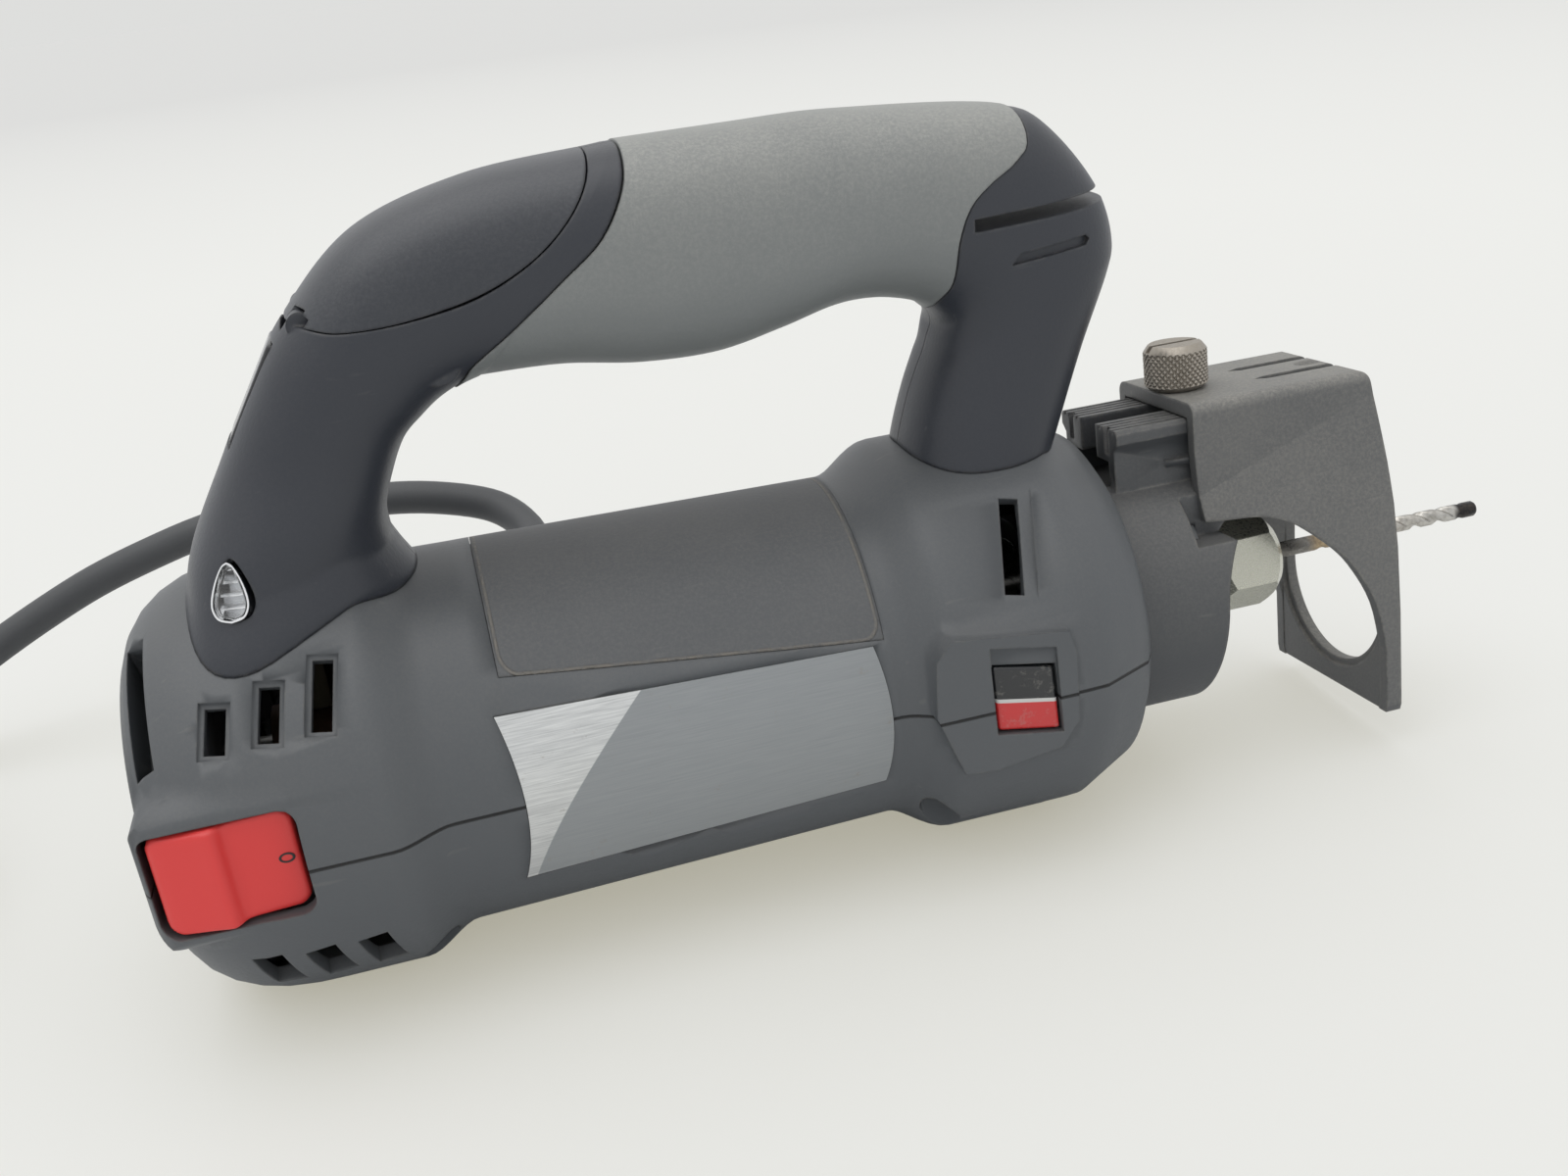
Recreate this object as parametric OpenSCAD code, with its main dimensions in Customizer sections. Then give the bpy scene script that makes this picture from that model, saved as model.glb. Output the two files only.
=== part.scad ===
// Hand held spiral cut-out tool: a round motor housing in two halves, a closed handle on top,
// a spiral bit in a collet and a sliding depth guide round the bit.
// Every shape is drawn from the rear end of the housing, along the spindle: station runs to the nose.

/* [Housing] */
// Length of the rear bell, from the rear end to the grip
rear_bell_len = 49; // [45:1:53]
// Largest diameter of the rear bell
rear_bell_d = 77; // [75:0.5:80]
// Diameter of the flat rear end
rear_face_d = 46; // [42:1:50]
// Length of the rounded rear end
rear_dome_len = 25; // [22:1:28]
// Length of the neck between the rear bell and the grip
rear_neck_len = 10; // [8:1:12]
// Length of the round grip
grip_len = 77; // [74:1:82]
// Grip diameter at the rear
grip_rear_d = 68; // [66.5:0.5:70]
// Grip diameter at the front
grip_front_d = 65; // [64:0.5:66]
// Length of the front bell
front_bell_len = 49; // [48:1:53]
// Diameter of the front bell
front_bell_d = 75.5; // [74.5:0.5:78]
// Length of the neck between the grip and the front bell
front_neck_len = 11; // [9:1:13]
// Length of the rounded front shoulder
front_dome_len = 16; // [14:1:17]
// Diameter of the front rim
rim_d = 53; // [52:1:55]
// Diameter of the nose that carries the depth guide
nose_d = 40; // [39:0.5:41]
// Length of the nose
nose_len = 17; // [15:1:18]
// Wall of the housing
wall = 2.8; // [2.2:0.1:3.2]
// Height of the spindle above the surface that the tool stands on
axis_h = 36.5; // [36:0.1:36.8]

/* [Vents] */
// Width of an air window
vent_w = 5; // [4:0.5:5.5]
// Height of the tallest air window
vent_h = 13.5; // [12:0.5:15]
// Spacing of the air windows
vent_pitch = 8.4; // [8:0.2:9]
// Station of the first air window
vent_x = 16.5; // [15:0.5:18]

/* [Switch] */
// Length of the rocker along the body
rocker_len = 21.6; // [20:0.2:22]
// Height of the rocker
rocker_h = 18; // [16:0.5:19]
// Station of the rocker's middle
rocker_x = 14.4; // [14:0.1:15]
// Height of the rocker's middle above the spindle
rocker_z = 1.6; // [1:0.1:2]
// Distance from the spindle to the rocker's ridge
rocker_reach = 38.4; // [38:0.1:39]

/* [Shaft lock] */
// Length of the lock button along the body
button_len = 12; // [11:0.2:13]
// Height of the lock button
button_h = 12.6; // [12:0.2:13.4]
// Distance from the start of the front bell to the lock button
button_on = 10; // [9:0.5:11]
// Height of the lock button's middle above the spindle
button_z = 1.1; // [0.6:0.1:1.6]
// Travel of the lock button
button_travel = 3; // [2.5:0.1:3.5]
// Diameter of the lock pin
lock_pin_d = 4.8; // [4:0.2:5]

/* [Motor] */
// Length of the iron core
core_len = 42; // [38:1:44]
// Room between the field core and the wall of the grip
field_room = 1.7; // [1.2:0.1:2.4]
// Thickness of the field core from its bore to its outside
field_t = 8.9; // [8:0.1:10]
// Air gap between rotor and field
air_gap = 0.6; // [0.4:0.1:0.8]
// Diameter of the spindle
spindle_d = 12; // [12:0.5:12.5]
// Diameter of the spindle's rear journal
journal_d = 8; // [8:0.5:9]
// Diameter of the commutator
commutator_d = 22; // [20:0.5:23]
// Room between the cooling fan and the wall of the grip
fan_gap = 2.2; // [1.6:0.1:3]
// Number of fan blades
fan_blades = 12; // [8:1:16]
// Outer diameter of the rear bearing
rear_bearing_d = 22; // [21:0.5:23]
// Outer diameter of the front bearing
front_bearing_d = 28; // [27:0.5:29]

/* [Collet and bit] */
// Diameter of the bit
bit_d = 3.2; // [3:0.1:3.4]
// Distance from the front rim to the tip of the bit
bit_reach = 88; // [84:1:92]
// Width of the collet nut across its flats
nut_af = 17; // [16:0.5:18]
// Length of the collet nut
nut_len = 12.6; // [12.2:0.1:14]

/* [Depth guide] */
// Turn of the depth guide about the spindle in degrees
guide_turn = -5; // [-8:1:0]
// Wall of the collar on the nose
collar_wall = 4.4; // [3.6:0.1:4.8]
// Length of the collar
collar_len = 25; // [24:0.5:26]
// Width of the ribbed rails
rail_w = 24.4; // [23:0.2:25]
// Height of the rails above the spindle
rail_top = 34.2; // [33.5:0.1:35]
// Length of the rails
rail_len = 39; // [37:1:41]
// Width of the foot at the top
foot_w = 30; // [29.6:0.2:32]
// Width of the foot at the bottom
foot_base_w = 40; // [38:1:42]
// Length of the foot's top plate
foot_len = 39.5; // [38:0.5:41]
// Distance from the spindle down to the foot's lower edge
foot_drop = 31; // [30:0.5:33]
// Thickness of the foot's walls
foot_t = 2.4; // [2:0.1:2.6]
// Distance from the front rim to the rear edge of the foot
foot_x = 17.5; // [17:0.5:19]
// Width of the opening in the foot
foot_hole_w = 34; // [32:0.5:35]
// How far the foot slides back
guide_back = 3; // [2:0.5:4]
// Diameter of the thumbscrew's head
screw_head_d = 12; // [10:0.5:13]
// Height of the thumbscrew's head
screw_head_h = 8.7; // [7:0.2:10]
// Diameter of the thumbscrew's thread
screw_d = 5; // [4:0.5:5.5]

/* [Handle] */
// Reach of the handle past the front rim
handle_overhang = 8; // [6:0.5:9]
// Height of the handle's top above the spindle
handle_top = 98; // [95:1:102]
// Width of the handle at the grip
handle_w = 32; // [30:0.5:34]
// Wall of the handle shells
handle_wall = 4.2; // [3.9:0.1:4.5]
// Thickness of the soft grip
grip_t = 2; // [1.6:0.1:2.4]
// Height of the wrench slot
wrench_slot_h = 2.2; // [1.8:0.1:2.6]
// Diameter of the cover's hinge barrel
barrel_d = 4.4; // [4.2:0.1:4.8]
// Diameter of the hinge pins
pin_d = 2; // [1.8:0.1:2.2]
// Width of the release paddle
paddle_w = 12; // [10:0.5:13]
// Length of the release paddle
paddle_len = 16; // [14:0.5:17]
// Thickness of the release paddle
paddle_t = 3.6; // [3.3:0.1:4]
// Travel of the release paddle in degrees
paddle_press = 6; // [4:1:7]

/* [Cord] */
// Diameter of the cord
cord_d = 8; // [7.5:0.1:8.2]
// Turns of the coil in each of its two layers
coil_turns = 3.25; // [2.25:1:4.25]
// Inner radius of the coil, at the middle of the cord
coil_in_r = 32; // [30:1:36]
// Air between the coil's loops
coil_gap = 0.9; // [0.7:0.1:1.4]
// Length of the strain relief outside the housing
relief_len = 20.5; // [19:0.5:23]
// Diameter of the strain relief at the housing
relief_d = 14; // [13:0.5:15]

/* [Hidden] */

// Clearances: between fixed pieces, between moving pieces, and of a shaft in its bore
seat_gap = 0.1;
move_gap = 0.4;
run_gap = 0.05;
// Overrun of every cut
over = 1;
round_fn = 64;

// Stations of the housing
rear_r = rear_bell_d / 2;
rear_neck_x = rear_bell_len - rear_neck_len;
grip_end_x = rear_bell_len + grip_len;
front_bell_x = grip_end_x + front_neck_len;
rim_x = grip_end_x + front_bell_len;
front_dome_x = rim_x - front_dome_len;
nose_x = rim_x + nose_len;
rear_wall = 1.5 * wall;
rest_x = rear_dome_len + (rear_neck_x - rear_dome_len) / 2;

function smooth(t) = t * t * (3 - 2 * t);
function lerp(a, b, t) = a + (b - a) * t;

// Outer radius of the housing at a station
dome_power = 2.6;
dome_root = 0.5;
function dome_r(x) =
    lerp(rear_face_d / 2, rear_r, pow(1 - pow(1 - x / rear_dome_len, dome_power), dome_root));
// Shoulder with a crease: share of its length, share of its height
shoulder_shares = [[0, 1], [0.21, 0.985], [0.84, 0.55], [0.95, 0.31], [1, 0]];
function shoulder_r(x) =
    lerp(rim_d / 2, front_bell_d / 2, lookup((x - front_dome_x) / front_dome_len, shoulder_shares));
function grip_r(x) = lerp(grip_rear_d, grip_front_d, (x - rear_bell_len) / grip_len) / 2;
function body_r(x) =
    x < rear_dome_len ? dome_r(x) :
    x < rear_neck_x ? rear_r :
    x < rear_bell_len ? lerp(rear_r, grip_rear_d / 2, smooth((x - rear_neck_x) / rear_neck_len)) :
    x < grip_end_x ? grip_r(x) :
    x < front_bell_x ? lerp(grip_front_d, front_bell_d, smooth((x - grip_end_x) / front_neck_len)) / 2 :
    x < front_dome_x ? front_bell_d / 2 : shoulder_r(x);

// Stations where the outline of the housing is drawn, denser on its round stretches
curve_steps = 8;
dome_stations = [for (i = [0:curve_steps]) rear_dome_len * (1 - cos(90 * i / curve_steps))];
neck_stations = [for (i = [0:curve_steps]) rear_neck_x + rear_neck_len * i / curve_steps];
front_stations = [for (i = [0:curve_steps]) grip_end_x + front_neck_len * i / curve_steps];
shoulder_stations = [for (p = shoulder_shares) front_dome_x + front_dome_len * p[0]];
body_stations = concat(dome_stations, neck_stations, front_stations, shoulder_stations);
body_profile = concat(
    [[0, 0]],
    [for (x = body_stations) [body_r(x), x]],
    [[nose_d / 2, rim_x], [nose_d / 2, nose_x], [0, nose_x]]);
cavity_end_x = rim_x - wall;
cavity_stations = [for (x = body_stations) if (x > rear_wall && x < cavity_end_x) x];
cavity_profile = concat(
    [[0, rear_wall], [body_r(rear_wall) - wall, rear_wall]],
    [for (x = cavity_stations) [body_r(x) - wall, x]],
    [[body_r(cavity_end_x) - wall, cavity_end_x], [0, cavity_end_x]]);
// Outline inside the wall, which trims the bosses and seats
core_profile = concat(
    [[0, rear_wall / 2], [body_r(rear_wall) - wall / 2, rear_wall / 2]],
    [for (x = cavity_stations) [body_r(x) - wall / 2, x]],
    [[body_r(cavity_end_x) - wall / 2, cavity_end_x + wall / 2], [0, cavity_end_x + wall / 2]]);
// Outline of the housing grown by a fit, which is cut from what sits on the housing
function grown_profile(gap) = concat(
    [[0, -gap]],
    [for (x = body_stations) [body_r(x) + gap, x]],
    [[0, rim_x + gap]]);

// Stands the tool on its rest face, with that face's middle at the origin
module place() { translate([-rest_x, 0, axis_h]) children(); }
// Turns an outline of radius and station about the spindle
module turned(points) { rotate([0, 90, 0]) rotate_extrude($fn = round_fn) polygon(points); }
// A round bar along the spindle
module rod(x, len, d) {
    translate([x, 0, 0]) rotate([0, 90, 0]) cylinder(h = len, d = d, $fn = round_fn);
}
// A ring along the spindle
module ring(x, len, d, bore) {
    difference() {
        rod(x, len, d);
        rod(x - over, len + 2 * over, bore);
    }
}
// A round bar across the tool
module cross_rod(x, y, z, len, d) {
    translate([x, y, z]) rotate([-90, 0, 0]) cylinder(h = len, d = d, $fn = round_fn);
}
// A round bar upright
module post(x, y, z, h, d) { translate([x, y, z]) cylinder(h = h, d = d, $fn = round_fn); }
// A box between two corners
module block(low, high) { translate(low) cube(high - low); }
// A flat rectangle with round corners
module rounded(w, h, r) {
    square([w - 2 * r, h], center = true);
    square([w, h - 2 * r], center = true);
    for (sx = [-1, 1], sy = [-1, 1])
        translate([sx * (w / 2 - r), sy * (h / 2 - r)]) circle(r = r, $fn = round_fn);
}
// A rounded block on the near side, from one distance to another, seen square to the side
module side_block(x, z, len, h, r, y_out, y_in) {
    translate([x, -y_in, z]) rotate([90, 0, 0]) linear_extrude(height = y_out - y_in) rounded(len, h, r);
}

// Motor sizes that follow the grip
slim_grip_d = min(grip_rear_d, grip_front_d);
field_d = slim_grip_d - 2 * (wall + field_room);
field_bore = field_d - 2 * field_t;
rotor_d = field_bore - 2 * air_gap;
fan_d = slim_grip_d - 2 * (wall + fan_gap);
// Inner seats of the housing
rear_bearing_x = rear_wall + wall;
rear_bearing_len = 7;
front_bearing_len = 8;
bearing_boss_wall = 4;
front_bearing_x = rim_x - wall - front_bearing_len - bearing_boss_wall;
core_room = 8;
core_x = rear_bell_len + core_room;
coil_len = 8;
seat_ring_len = 4;
screw_boss_d = 8;
rear_screw_on = 3;
rear_screw_y = 24;
front_screw_on = 7.5;
front_screw_y = 26;
screw_places = [[rear_neck_x + rear_screw_on, rear_screw_y], [grip_end_x + front_screw_on, front_screw_y]];
screw_thread_d = 2.6;
screw_shank_d = 3.6;
screw_head_body_d = 7;
screw_head_z = 12;
boss_h = 13;
boss_web = 3;
shaft_room = 3;

// Switch sizes that follow the rocker
surround_room_len = 6.6;
surround_room_h = 8;
rocker_proud = 1;
window_rear_gap = 1.8;
window_front_gap = 0.7;
window_side_gap = 0.5;
window_corner = 3;
switch_surround_len = rocker_len + surround_room_len;
switch_surround_h = rocker_h + surround_room_h;
switch_surround_reach = rocker_reach - rocker_proud;
switch_window_len = rocker_len + window_rear_gap + window_front_gap;
switch_window_x = rocker_x + (window_front_gap - window_rear_gap) / 2;
switch_window_h = rocker_h + 2 * window_side_gap;
switch_depth = 22;
switch_ear_t = 1.2;
switch_floor_in = 14.6;
switch_floor = rocker_reach - switch_floor_in;
switch_back = rocker_reach - switch_depth;
pivot_in = 9;
rocker_pivot_y = rocker_reach - pivot_in;
trunnion_d = 2.8;
switch_bay_reach = rocker_pivot_y + trunnion_d + move_gap;
switch_corner = 7;
surround_round = 6;
surround_brow = 5;

// Lock button sizes that follow the button
button_x = front_bell_x + button_on;
pad_room_len = 14;
pad_room_h = 14.4;
pad_proud = 0.5;
button_sunk = 0.6;
pad_len = button_len + pad_room_len;
pad_h = button_h + pad_room_h;
pad_reach = front_bell_d / 2 + pad_proud;
pad_corner = 3;
// Corners of the button and of the flat pad round it, from the button's middle
button_shares = [[-0.49, 0.585], [0.44, 0.4], [0.505, -0.58], [-0.445, -0.405]];
pad_shares = [
    [-0.496, 0.52], [-0.608, 0.39], [-0.631, 0.01], [-0.462, -0.44], [-0.23, -0.46],
    [0.231, -0.4], [0.365, -0.23], [0.365, 0.255], [0.319, 0.42]
];
recess_rise = 3.4;
recess_t = 0.9;
button_reach = pad_reach - button_sunk;
button_t = 4;
button_guide_in = 17;
button_guide_out = 24;
guide_boss_d = 14;

// A slanted block on the near side, with its corners given as shares about the button's middle
module pad_block(shares, len, h, grow, rise, y_out, y_in) {
    translate([button_x, -y_in, button_z]) rotate([90, 0, 0]) linear_extrude(height = y_out - y_in)
        polygon([for (p = shares)
            [p[0] * len + sign(p[0]) * grow, p[1] * h + sign(p[1]) * grow + (p[1] > 0 ? rise : 0)]]);
}
// Window of the rocker, and behind it room for the ears and the wider bay of the switch
module switch_bay() {
    half_len = switch_window_len / 2;
    half_h = rocker_h / 2 + 2 * move_gap + switch_ear_t;
    side_block(switch_window_x, rocker_z, switch_window_len, switch_window_h, window_corner,
        rocker_reach + over, switch_back - move_gap);
    half_ear = trunnion_d + move_gap;
    block([rocker_x - half_ear, -switch_bay_reach, rocker_z - half_h],
        [rocker_x + half_ear, -switch_floor, rocker_z + half_h]);
    block([switch_window_x - half_len, -switch_floor - move_gap, rocker_z - half_h],
        [switch_window_x + half_len, -switch_back + move_gap, rocker_z + half_h]);
}
// Air windows on one side: three rising windows, a tall rear slot and three lower slots
vent_angle = 31;
vent_lean = 10;
vent_rim = 0.9;
vent_frame_t = 1.3;
vent_height_shares = [0.68, 0.8, 1];
rear_slot_w = 3.4;
rear_slot_x = 4.6;
rear_slot_angle = 53;
rear_slot_h = 24;
low_vent_angle = -34;
low_vent_h_share = 0.82;
low_vent_x = 16.4;
front_vent_on = 4;
front_vent_x = button_x + front_vent_on;
front_vent_w = 6.4;
front_vent_h = 24;
front_vent_t = 1.4;
front_slot_w = 3.4;
front_slot_h = 18;
front_slot_back = 0.9;
front_vent_angle = 43;
front_vent_lean = 14;
front_low_vent_h = 7;
front_low_vent_angle = -58;
front_low_vent_on = 11;
front_low_vent_x = button_x + front_low_vent_on;
module radial_slot(x, angle, w, h, lean = 0) {
    rotate([-angle, 0, 0]) translate([x, -rear_r, 0]) rotate([0, lean, 0])
        cube([w, rear_r, h], center = true);
}
// A shallow frame round a window, down to a depth below a radius
module radial_frame(x, angle, w, h, lean, r, t) {
    rotate([-angle, 0, 0]) translate([x, t - r - rear_r, 0]) rotate([0, lean, 0])
        cube([w, rear_bell_d, h], center = true);
}
module side_vents() {
    for (i = [0:len(vent_height_shares) - 1]) {
        h = vent_h * vent_height_shares[i];
        x = vent_x + i * vent_pitch;
        angle = vent_angle + asin(h / 2 / rear_r);
        radial_slot(x, angle, vent_w - 2 * vent_rim, h - 2 * vent_rim, vent_lean);
        radial_frame(x, angle, vent_w, h, vent_lean, body_r(x), vent_frame_t);
    }
    radial_slot(rear_slot_x, rear_slot_angle, rear_slot_w, rear_slot_h);
    for (i = [0:len(vent_height_shares) - 1])
        radial_slot(low_vent_x + i * vent_pitch, low_vent_angle,
            vent_w, vent_h * low_vent_h_share, -vent_lean);
    radial_slot(front_vent_x - front_slot_back, front_vent_angle,
        front_slot_w, front_slot_h, front_vent_lean);
    radial_frame(front_vent_x, front_vent_angle, front_vent_w, front_vent_h, front_vent_lean,
        front_bell_d / 2, front_vent_t);
    radial_slot(front_low_vent_x, front_low_vent_angle, vent_w, front_low_vent_h);
}
// Bosses that take the housing screws, one pair at each end of the grip
module at_screws() { for (p = screw_places, s = [-1, 1]) translate([p[0], s * p[1], 0]) children(); }

// Strain relief place on the far side
relief_x = 12;
relief_groove = 1.5;
relief_groove_d = relief_d - 2 * relief_groove;
relief_seat = body_r(relief_x) - wall;
relief_flange_t = 2.5;

// Shallow seats of the grip panel and the label
panel_t = 1.2;
panel_in = 11.5;
panel_end_in = 1;
panel_x = rear_bell_len + panel_in;
panel_end_x = grip_end_x - panel_end_in;
panel_angle = 39;
panel_slope = 6;
label_t = 0.5;
label_in = 9.5;
label_x = rear_bell_len + label_in;
label_len = 66;
label_angle = 27;
label_bulge = 2.2;
label_taper = 2.3;
// A cone that follows the grip, set in by a depth, between two stations
module grip_cone(x0, x1, depth) {
    turned([[0, x0], [grip_r(x0) - depth, x0], [grip_r(x1) - depth, x1], [0, x1]]);
}
module grip_band(x0, x1, depth) {
    difference() {
        grip_cone(x0, x1, -over);
        grip_cone(x0 - over, x1 + over, depth);
    }
}
// The soft panel lies over the top of the grip, down to a sloping edge on both sides
module panel_space(grow) {
    intersection() {
        grip_band(panel_x - grow, panel_end_x + grow, panel_t + grow);
        translate([panel_x, 0, (grip_rear_d / 2 - panel_t) * sin(panel_angle) - grow])
            rotate([0, panel_slope, 0])
                block([-rear_r, -rear_r, 0], [grip_len + rear_r, rear_r, rear_bell_d]);
    }
}
// The label wraps round the near side, narrower at its full front end than at its hollow rear end
module label_outline(grow) {
    h = grip_rear_d * sin(label_angle) / 2;
    end_r = (h * h + label_bulge * label_bulge) / 2 / label_bulge;
    front = label_len + grow;
    front_h = h - label_taper + grow;
    difference() {
        intersection() {
            polygon([[-grow, h + grow], [front, front_h], [front, -front_h], [-grow, -h - grow]]);
            translate([front - end_r, 0]) circle(r = end_r, $fn = round_fn * 2);
        }
        translate([label_bulge - end_r - grow, 0]) circle(r = end_r, $fn = round_fn * 2);
    }
}
module label_space(grow) {
    intersection() {
        grip_band(rear_bell_len, grip_end_x, label_t + grow);
        translate([label_x, 0, 0]) rotate([90, 0, 0]) linear_extrude(height = rear_r) label_outline(grow);
    }
}

module housing() {
    difference() {
        union() {
            difference() {
                union() {
                    turned(body_profile);
                    intersection() {
                        side_block(rocker_x, rocker_z, switch_surround_len, switch_surround_h, switch_corner,
                            switch_surround_reach, switch_back);
                        translate([rocker_x, -switch_surround_reach / 2, -rear_r])
                            linear_extrude(height = rear_bell_d)
                                rounded(switch_surround_len, switch_surround_reach, surround_round);
                        translate([0, 0, rocker_z]) rotate([90, 0, 90]) linear_extrude(height = rear_bell_d)
                            rounded(2 * switch_surround_reach, switch_surround_h, surround_brow);
                    }
                    pad_block(pad_shares, pad_len, pad_h, 0, 0, pad_reach, button_guide_out);
                }
                turned(cavity_profile);
            }
            intersection() {
                turned(core_profile);
                union() {
                    rod(rear_bearing_x - wall, rear_bearing_len + wall, 2 * body_r(rear_bearing_x) - wall);
                    ring(core_x + seat_ring_len, seat_ring_len,
                        2 * grip_r(core_x) - wall, field_d + 2 * seat_gap);
                    ring(core_x + core_len - 2 * seat_ring_len, seat_ring_len,
                        2 * grip_r(core_x + core_len) - wall, field_d + 2 * seat_gap);
                    rod(front_bearing_x - seat_gap, rim_x - front_bearing_x,
                        front_bearing_d + 2 * bearing_boss_wall);
                    cross_rod(button_x, -pad_reach, 0, pad_reach - button_guide_in, guide_boss_d);
                    at_screws() post(0, 0, -rear_r, rear_r + boss_h, screw_boss_d);
                    for (p = screw_places, s = [0, 1]) mirror([0, s, 0])
                        block([p[0] - boss_web / 2, p[1], -boss_h], [p[0] + boss_web / 2, rear_r, boss_h]);
                }
            }
        }
        // Bearing seats and the passage of the spindle
        rod(rear_bearing_x, rear_bearing_len + over, rear_bearing_d + 2 * seat_gap);
        rod(rear_bearing_x - shaft_room, shaft_room + over, journal_d + shaft_room);
        rod(front_bearing_x - over, front_bearing_len + over, front_bearing_d + 2 * seat_gap);
        rod(front_bearing_x, nose_x, spindle_d + shaft_room);
        // Lock button well and the bore of its pin
        pad_block(button_shares, button_len, button_h, move_gap, 0,
            pad_reach + over, button_reach - button_t - button_travel - move_gap);
        pad_block(button_shares, button_len, button_h, move_gap, recess_rise,
            pad_reach + over, pad_reach - recess_t);
        side_block(button_x, 0, guide_boss_d - wall, guide_boss_d - wall, pad_corner / 2,
            button_reach - button_t, button_guide_out);
        cross_rod(button_x, -pad_reach, 0, pad_reach, lock_pin_d + 2 * run_gap);
        switch_bay();
        for (s = [0, 1]) mirror([0, s, 0]) side_vents();
        // Strain relief passage, waisted by the wall
        cross_rod(relief_x, 0, 0, rear_bell_d, relief_groove_d + 2 * seat_gap);
        cross_rod(relief_x, 0, 0, relief_seat, relief_d + 2 * seat_gap);
        // Screw holes from below
        at_screws() {
            post(0, 0, -rear_r, rear_r, screw_shank_d);
            post(0, 0, -over, boss_h - wall + over, screw_thread_d + 2 * run_gap);
            post(0, 0, -rear_r - over, rear_r - screw_head_z + over, screw_head_body_d + 2 * seat_gap);
        }
        panel_space(seat_gap);
        label_space(seat_gap);
        // Flat underside
        block([-over, -rear_r, -rear_bell_d], [nose_x + over, rear_r, -axis_h]);
    }
}
module upper_housing() {
    color("#2f3236") place() intersection() {
        housing();
        block([-over, -rear_bell_d, 0], [nose_x + over, rear_bell_d, rear_bell_d]);
    }
}
module lower_housing() {
    color("#2b2e32") place() intersection() {
        housing();
        block([-over, -rear_bell_d, -rear_bell_d], [nose_x + over, rear_bell_d, 0]);
    }
}
screw_head_t = 2.6;
module housing_screws() {
    color("silver") place() at_screws() {
        post(0, 0, -screw_head_z - screw_head_t, screw_head_t, screw_head_body_d);
        post(0, 0, -screw_head_z - screw_head_t / 2, screw_head_z + boss_h - 2 * wall, screw_thread_d);
    }
}
module grip_panel() {
    color("#303337") place() difference() {
        intersection() {
            panel_space(0);
            grip_cone(rear_bell_len, grip_end_x, 0);
        }
        label_space(2 * seat_gap);
    }
}
module label_plate() {
    color("#9a9c9e") place() intersection() {
        label_space(0);
        grip_cone(rear_bell_len, grip_end_x, 0);
    }
}

// Switch: a body behind the wall carries the rocker on two trunnions
module switch_body() {
    half_h = rocker_h / 2 + move_gap;
    color("#1c1d1f") place() difference() {
        union() {
            block([rocker_x - rocker_len / 2, -switch_floor, rocker_z - half_h - switch_ear_t],
                [rocker_x + rocker_len / 2, -switch_back, rocker_z + half_h + switch_ear_t]);
            for (s = [-1, 1])
                translate([rocker_x, -(switch_floor + rocker_pivot_y + trunnion_d) / 2,
                    rocker_z + s * (half_h + switch_ear_t / 2)])
                    cube([2 * trunnion_d, rocker_pivot_y + trunnion_d - switch_floor, switch_ear_t],
                        center = true);
        }
        post(rocker_x, -rocker_pivot_y, rocker_z - rocker_h, 2 * rocker_h, trunnion_d + 2 * run_gap);
    }
}
// Rocker outline seen along its pivot: share of its length from the rear, share of its depth from the ridge
rocker_depth = 11;
rocker_outline_shares = [
    [0, 0.75], [0, 0.16], [0.12, 0.1], [0.3, 0.06], [0.44, 0], [0.5, 0.06],
    [0.56, 0.2], [0.75, 0.24], [1, 0.26], [1, 0.75], [0.7, 1], [0.3, 1]
];
module rocker_switch() {
    color("#c9252b") place() {
        intersection() {
            translate([rocker_x - rocker_len / 2, -rocker_reach, rocker_z - rocker_h / 2])
                linear_extrude(height = rocker_h)
                    polygon([for (p = rocker_outline_shares) [p[0] * rocker_len, p[1] * rocker_depth]]);
            side_block(rocker_x, rocker_z, rocker_len, rocker_h, window_corner - window_side_gap,
                rocker_reach + over, switch_back);
        }
        post(rocker_x, -rocker_pivot_y, rocker_z - rocker_h / 2 - switch_ear_t,
            rocker_h + 2 * switch_ear_t, trunnion_d);
    }
}

// Shaft lock: button with its pin, level with the spindle, pushed out by a coil spring
pin_room = 1;
pin_rest = spindle_d / 2 + pin_room;
spring_wire_d = 0.7;
spring_turns = 5;
spring_room = 1.1;
spring_r = lock_pin_d / 2 + spring_room;
spring_len = button_reach - button_t - button_guide_out - 2 * seat_gap;
module lock_button() {
    color("#202124") place() {
        pad_block(button_shares, button_len, button_h, 0, 0, button_reach, button_reach - button_t);
        cross_rod(button_x, -button_reach + button_t / 2, 0,
            button_reach - button_t / 2 - pin_rest, lock_pin_d);
    }
}
// Tube swept along a list of places: rings of equal sides round a path
function unit(v) = v / norm(v);
function path_dir(p, i) = unit(p[min(i + 1, len(p) - 1)] - p[max(i - 1, 0)]);
function side_dir(d) = let (s = cross(d, [0, 0, 1])) norm(s) < 0.01 ? [0, 1, 0] : unit(s);
function tube_ring(c, d, r, sides) =
    let (a = side_dir(d), b = cross(a, d))
    [for (j = [0:sides - 1]) let (t = 360 * (j + 0.5) / sides) c + r * (cos(t) * a + sin(t) * b)];
function wall_faces(rings, sides) = [
    for (i = [0:rings - 2], j = [0:sides - 1])
        let (a = i * sides + j, b = i * sides + (j + 1) % sides, c = a + sides, d = b + sides)
        each [[a, b, c], [b, d, c]]
];
function cap_faces(rings, sides) = concat(
    [for (j = [1:sides - 2]) [0, j + 1, j]],
    [for (j = [1:sides - 2]) let (o = (rings - 1) * sides) [o, o + j, o + j + 1]]);
module tube(path, d, sides) {
    polyhedron(
        points = [for (i = [0:len(path) - 1]) each tube_ring(path[i], path_dir(path, i), d / 2, sides)],
        faces = concat(wall_faces(len(path), sides), cap_faces(len(path), sides)));
}
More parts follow.
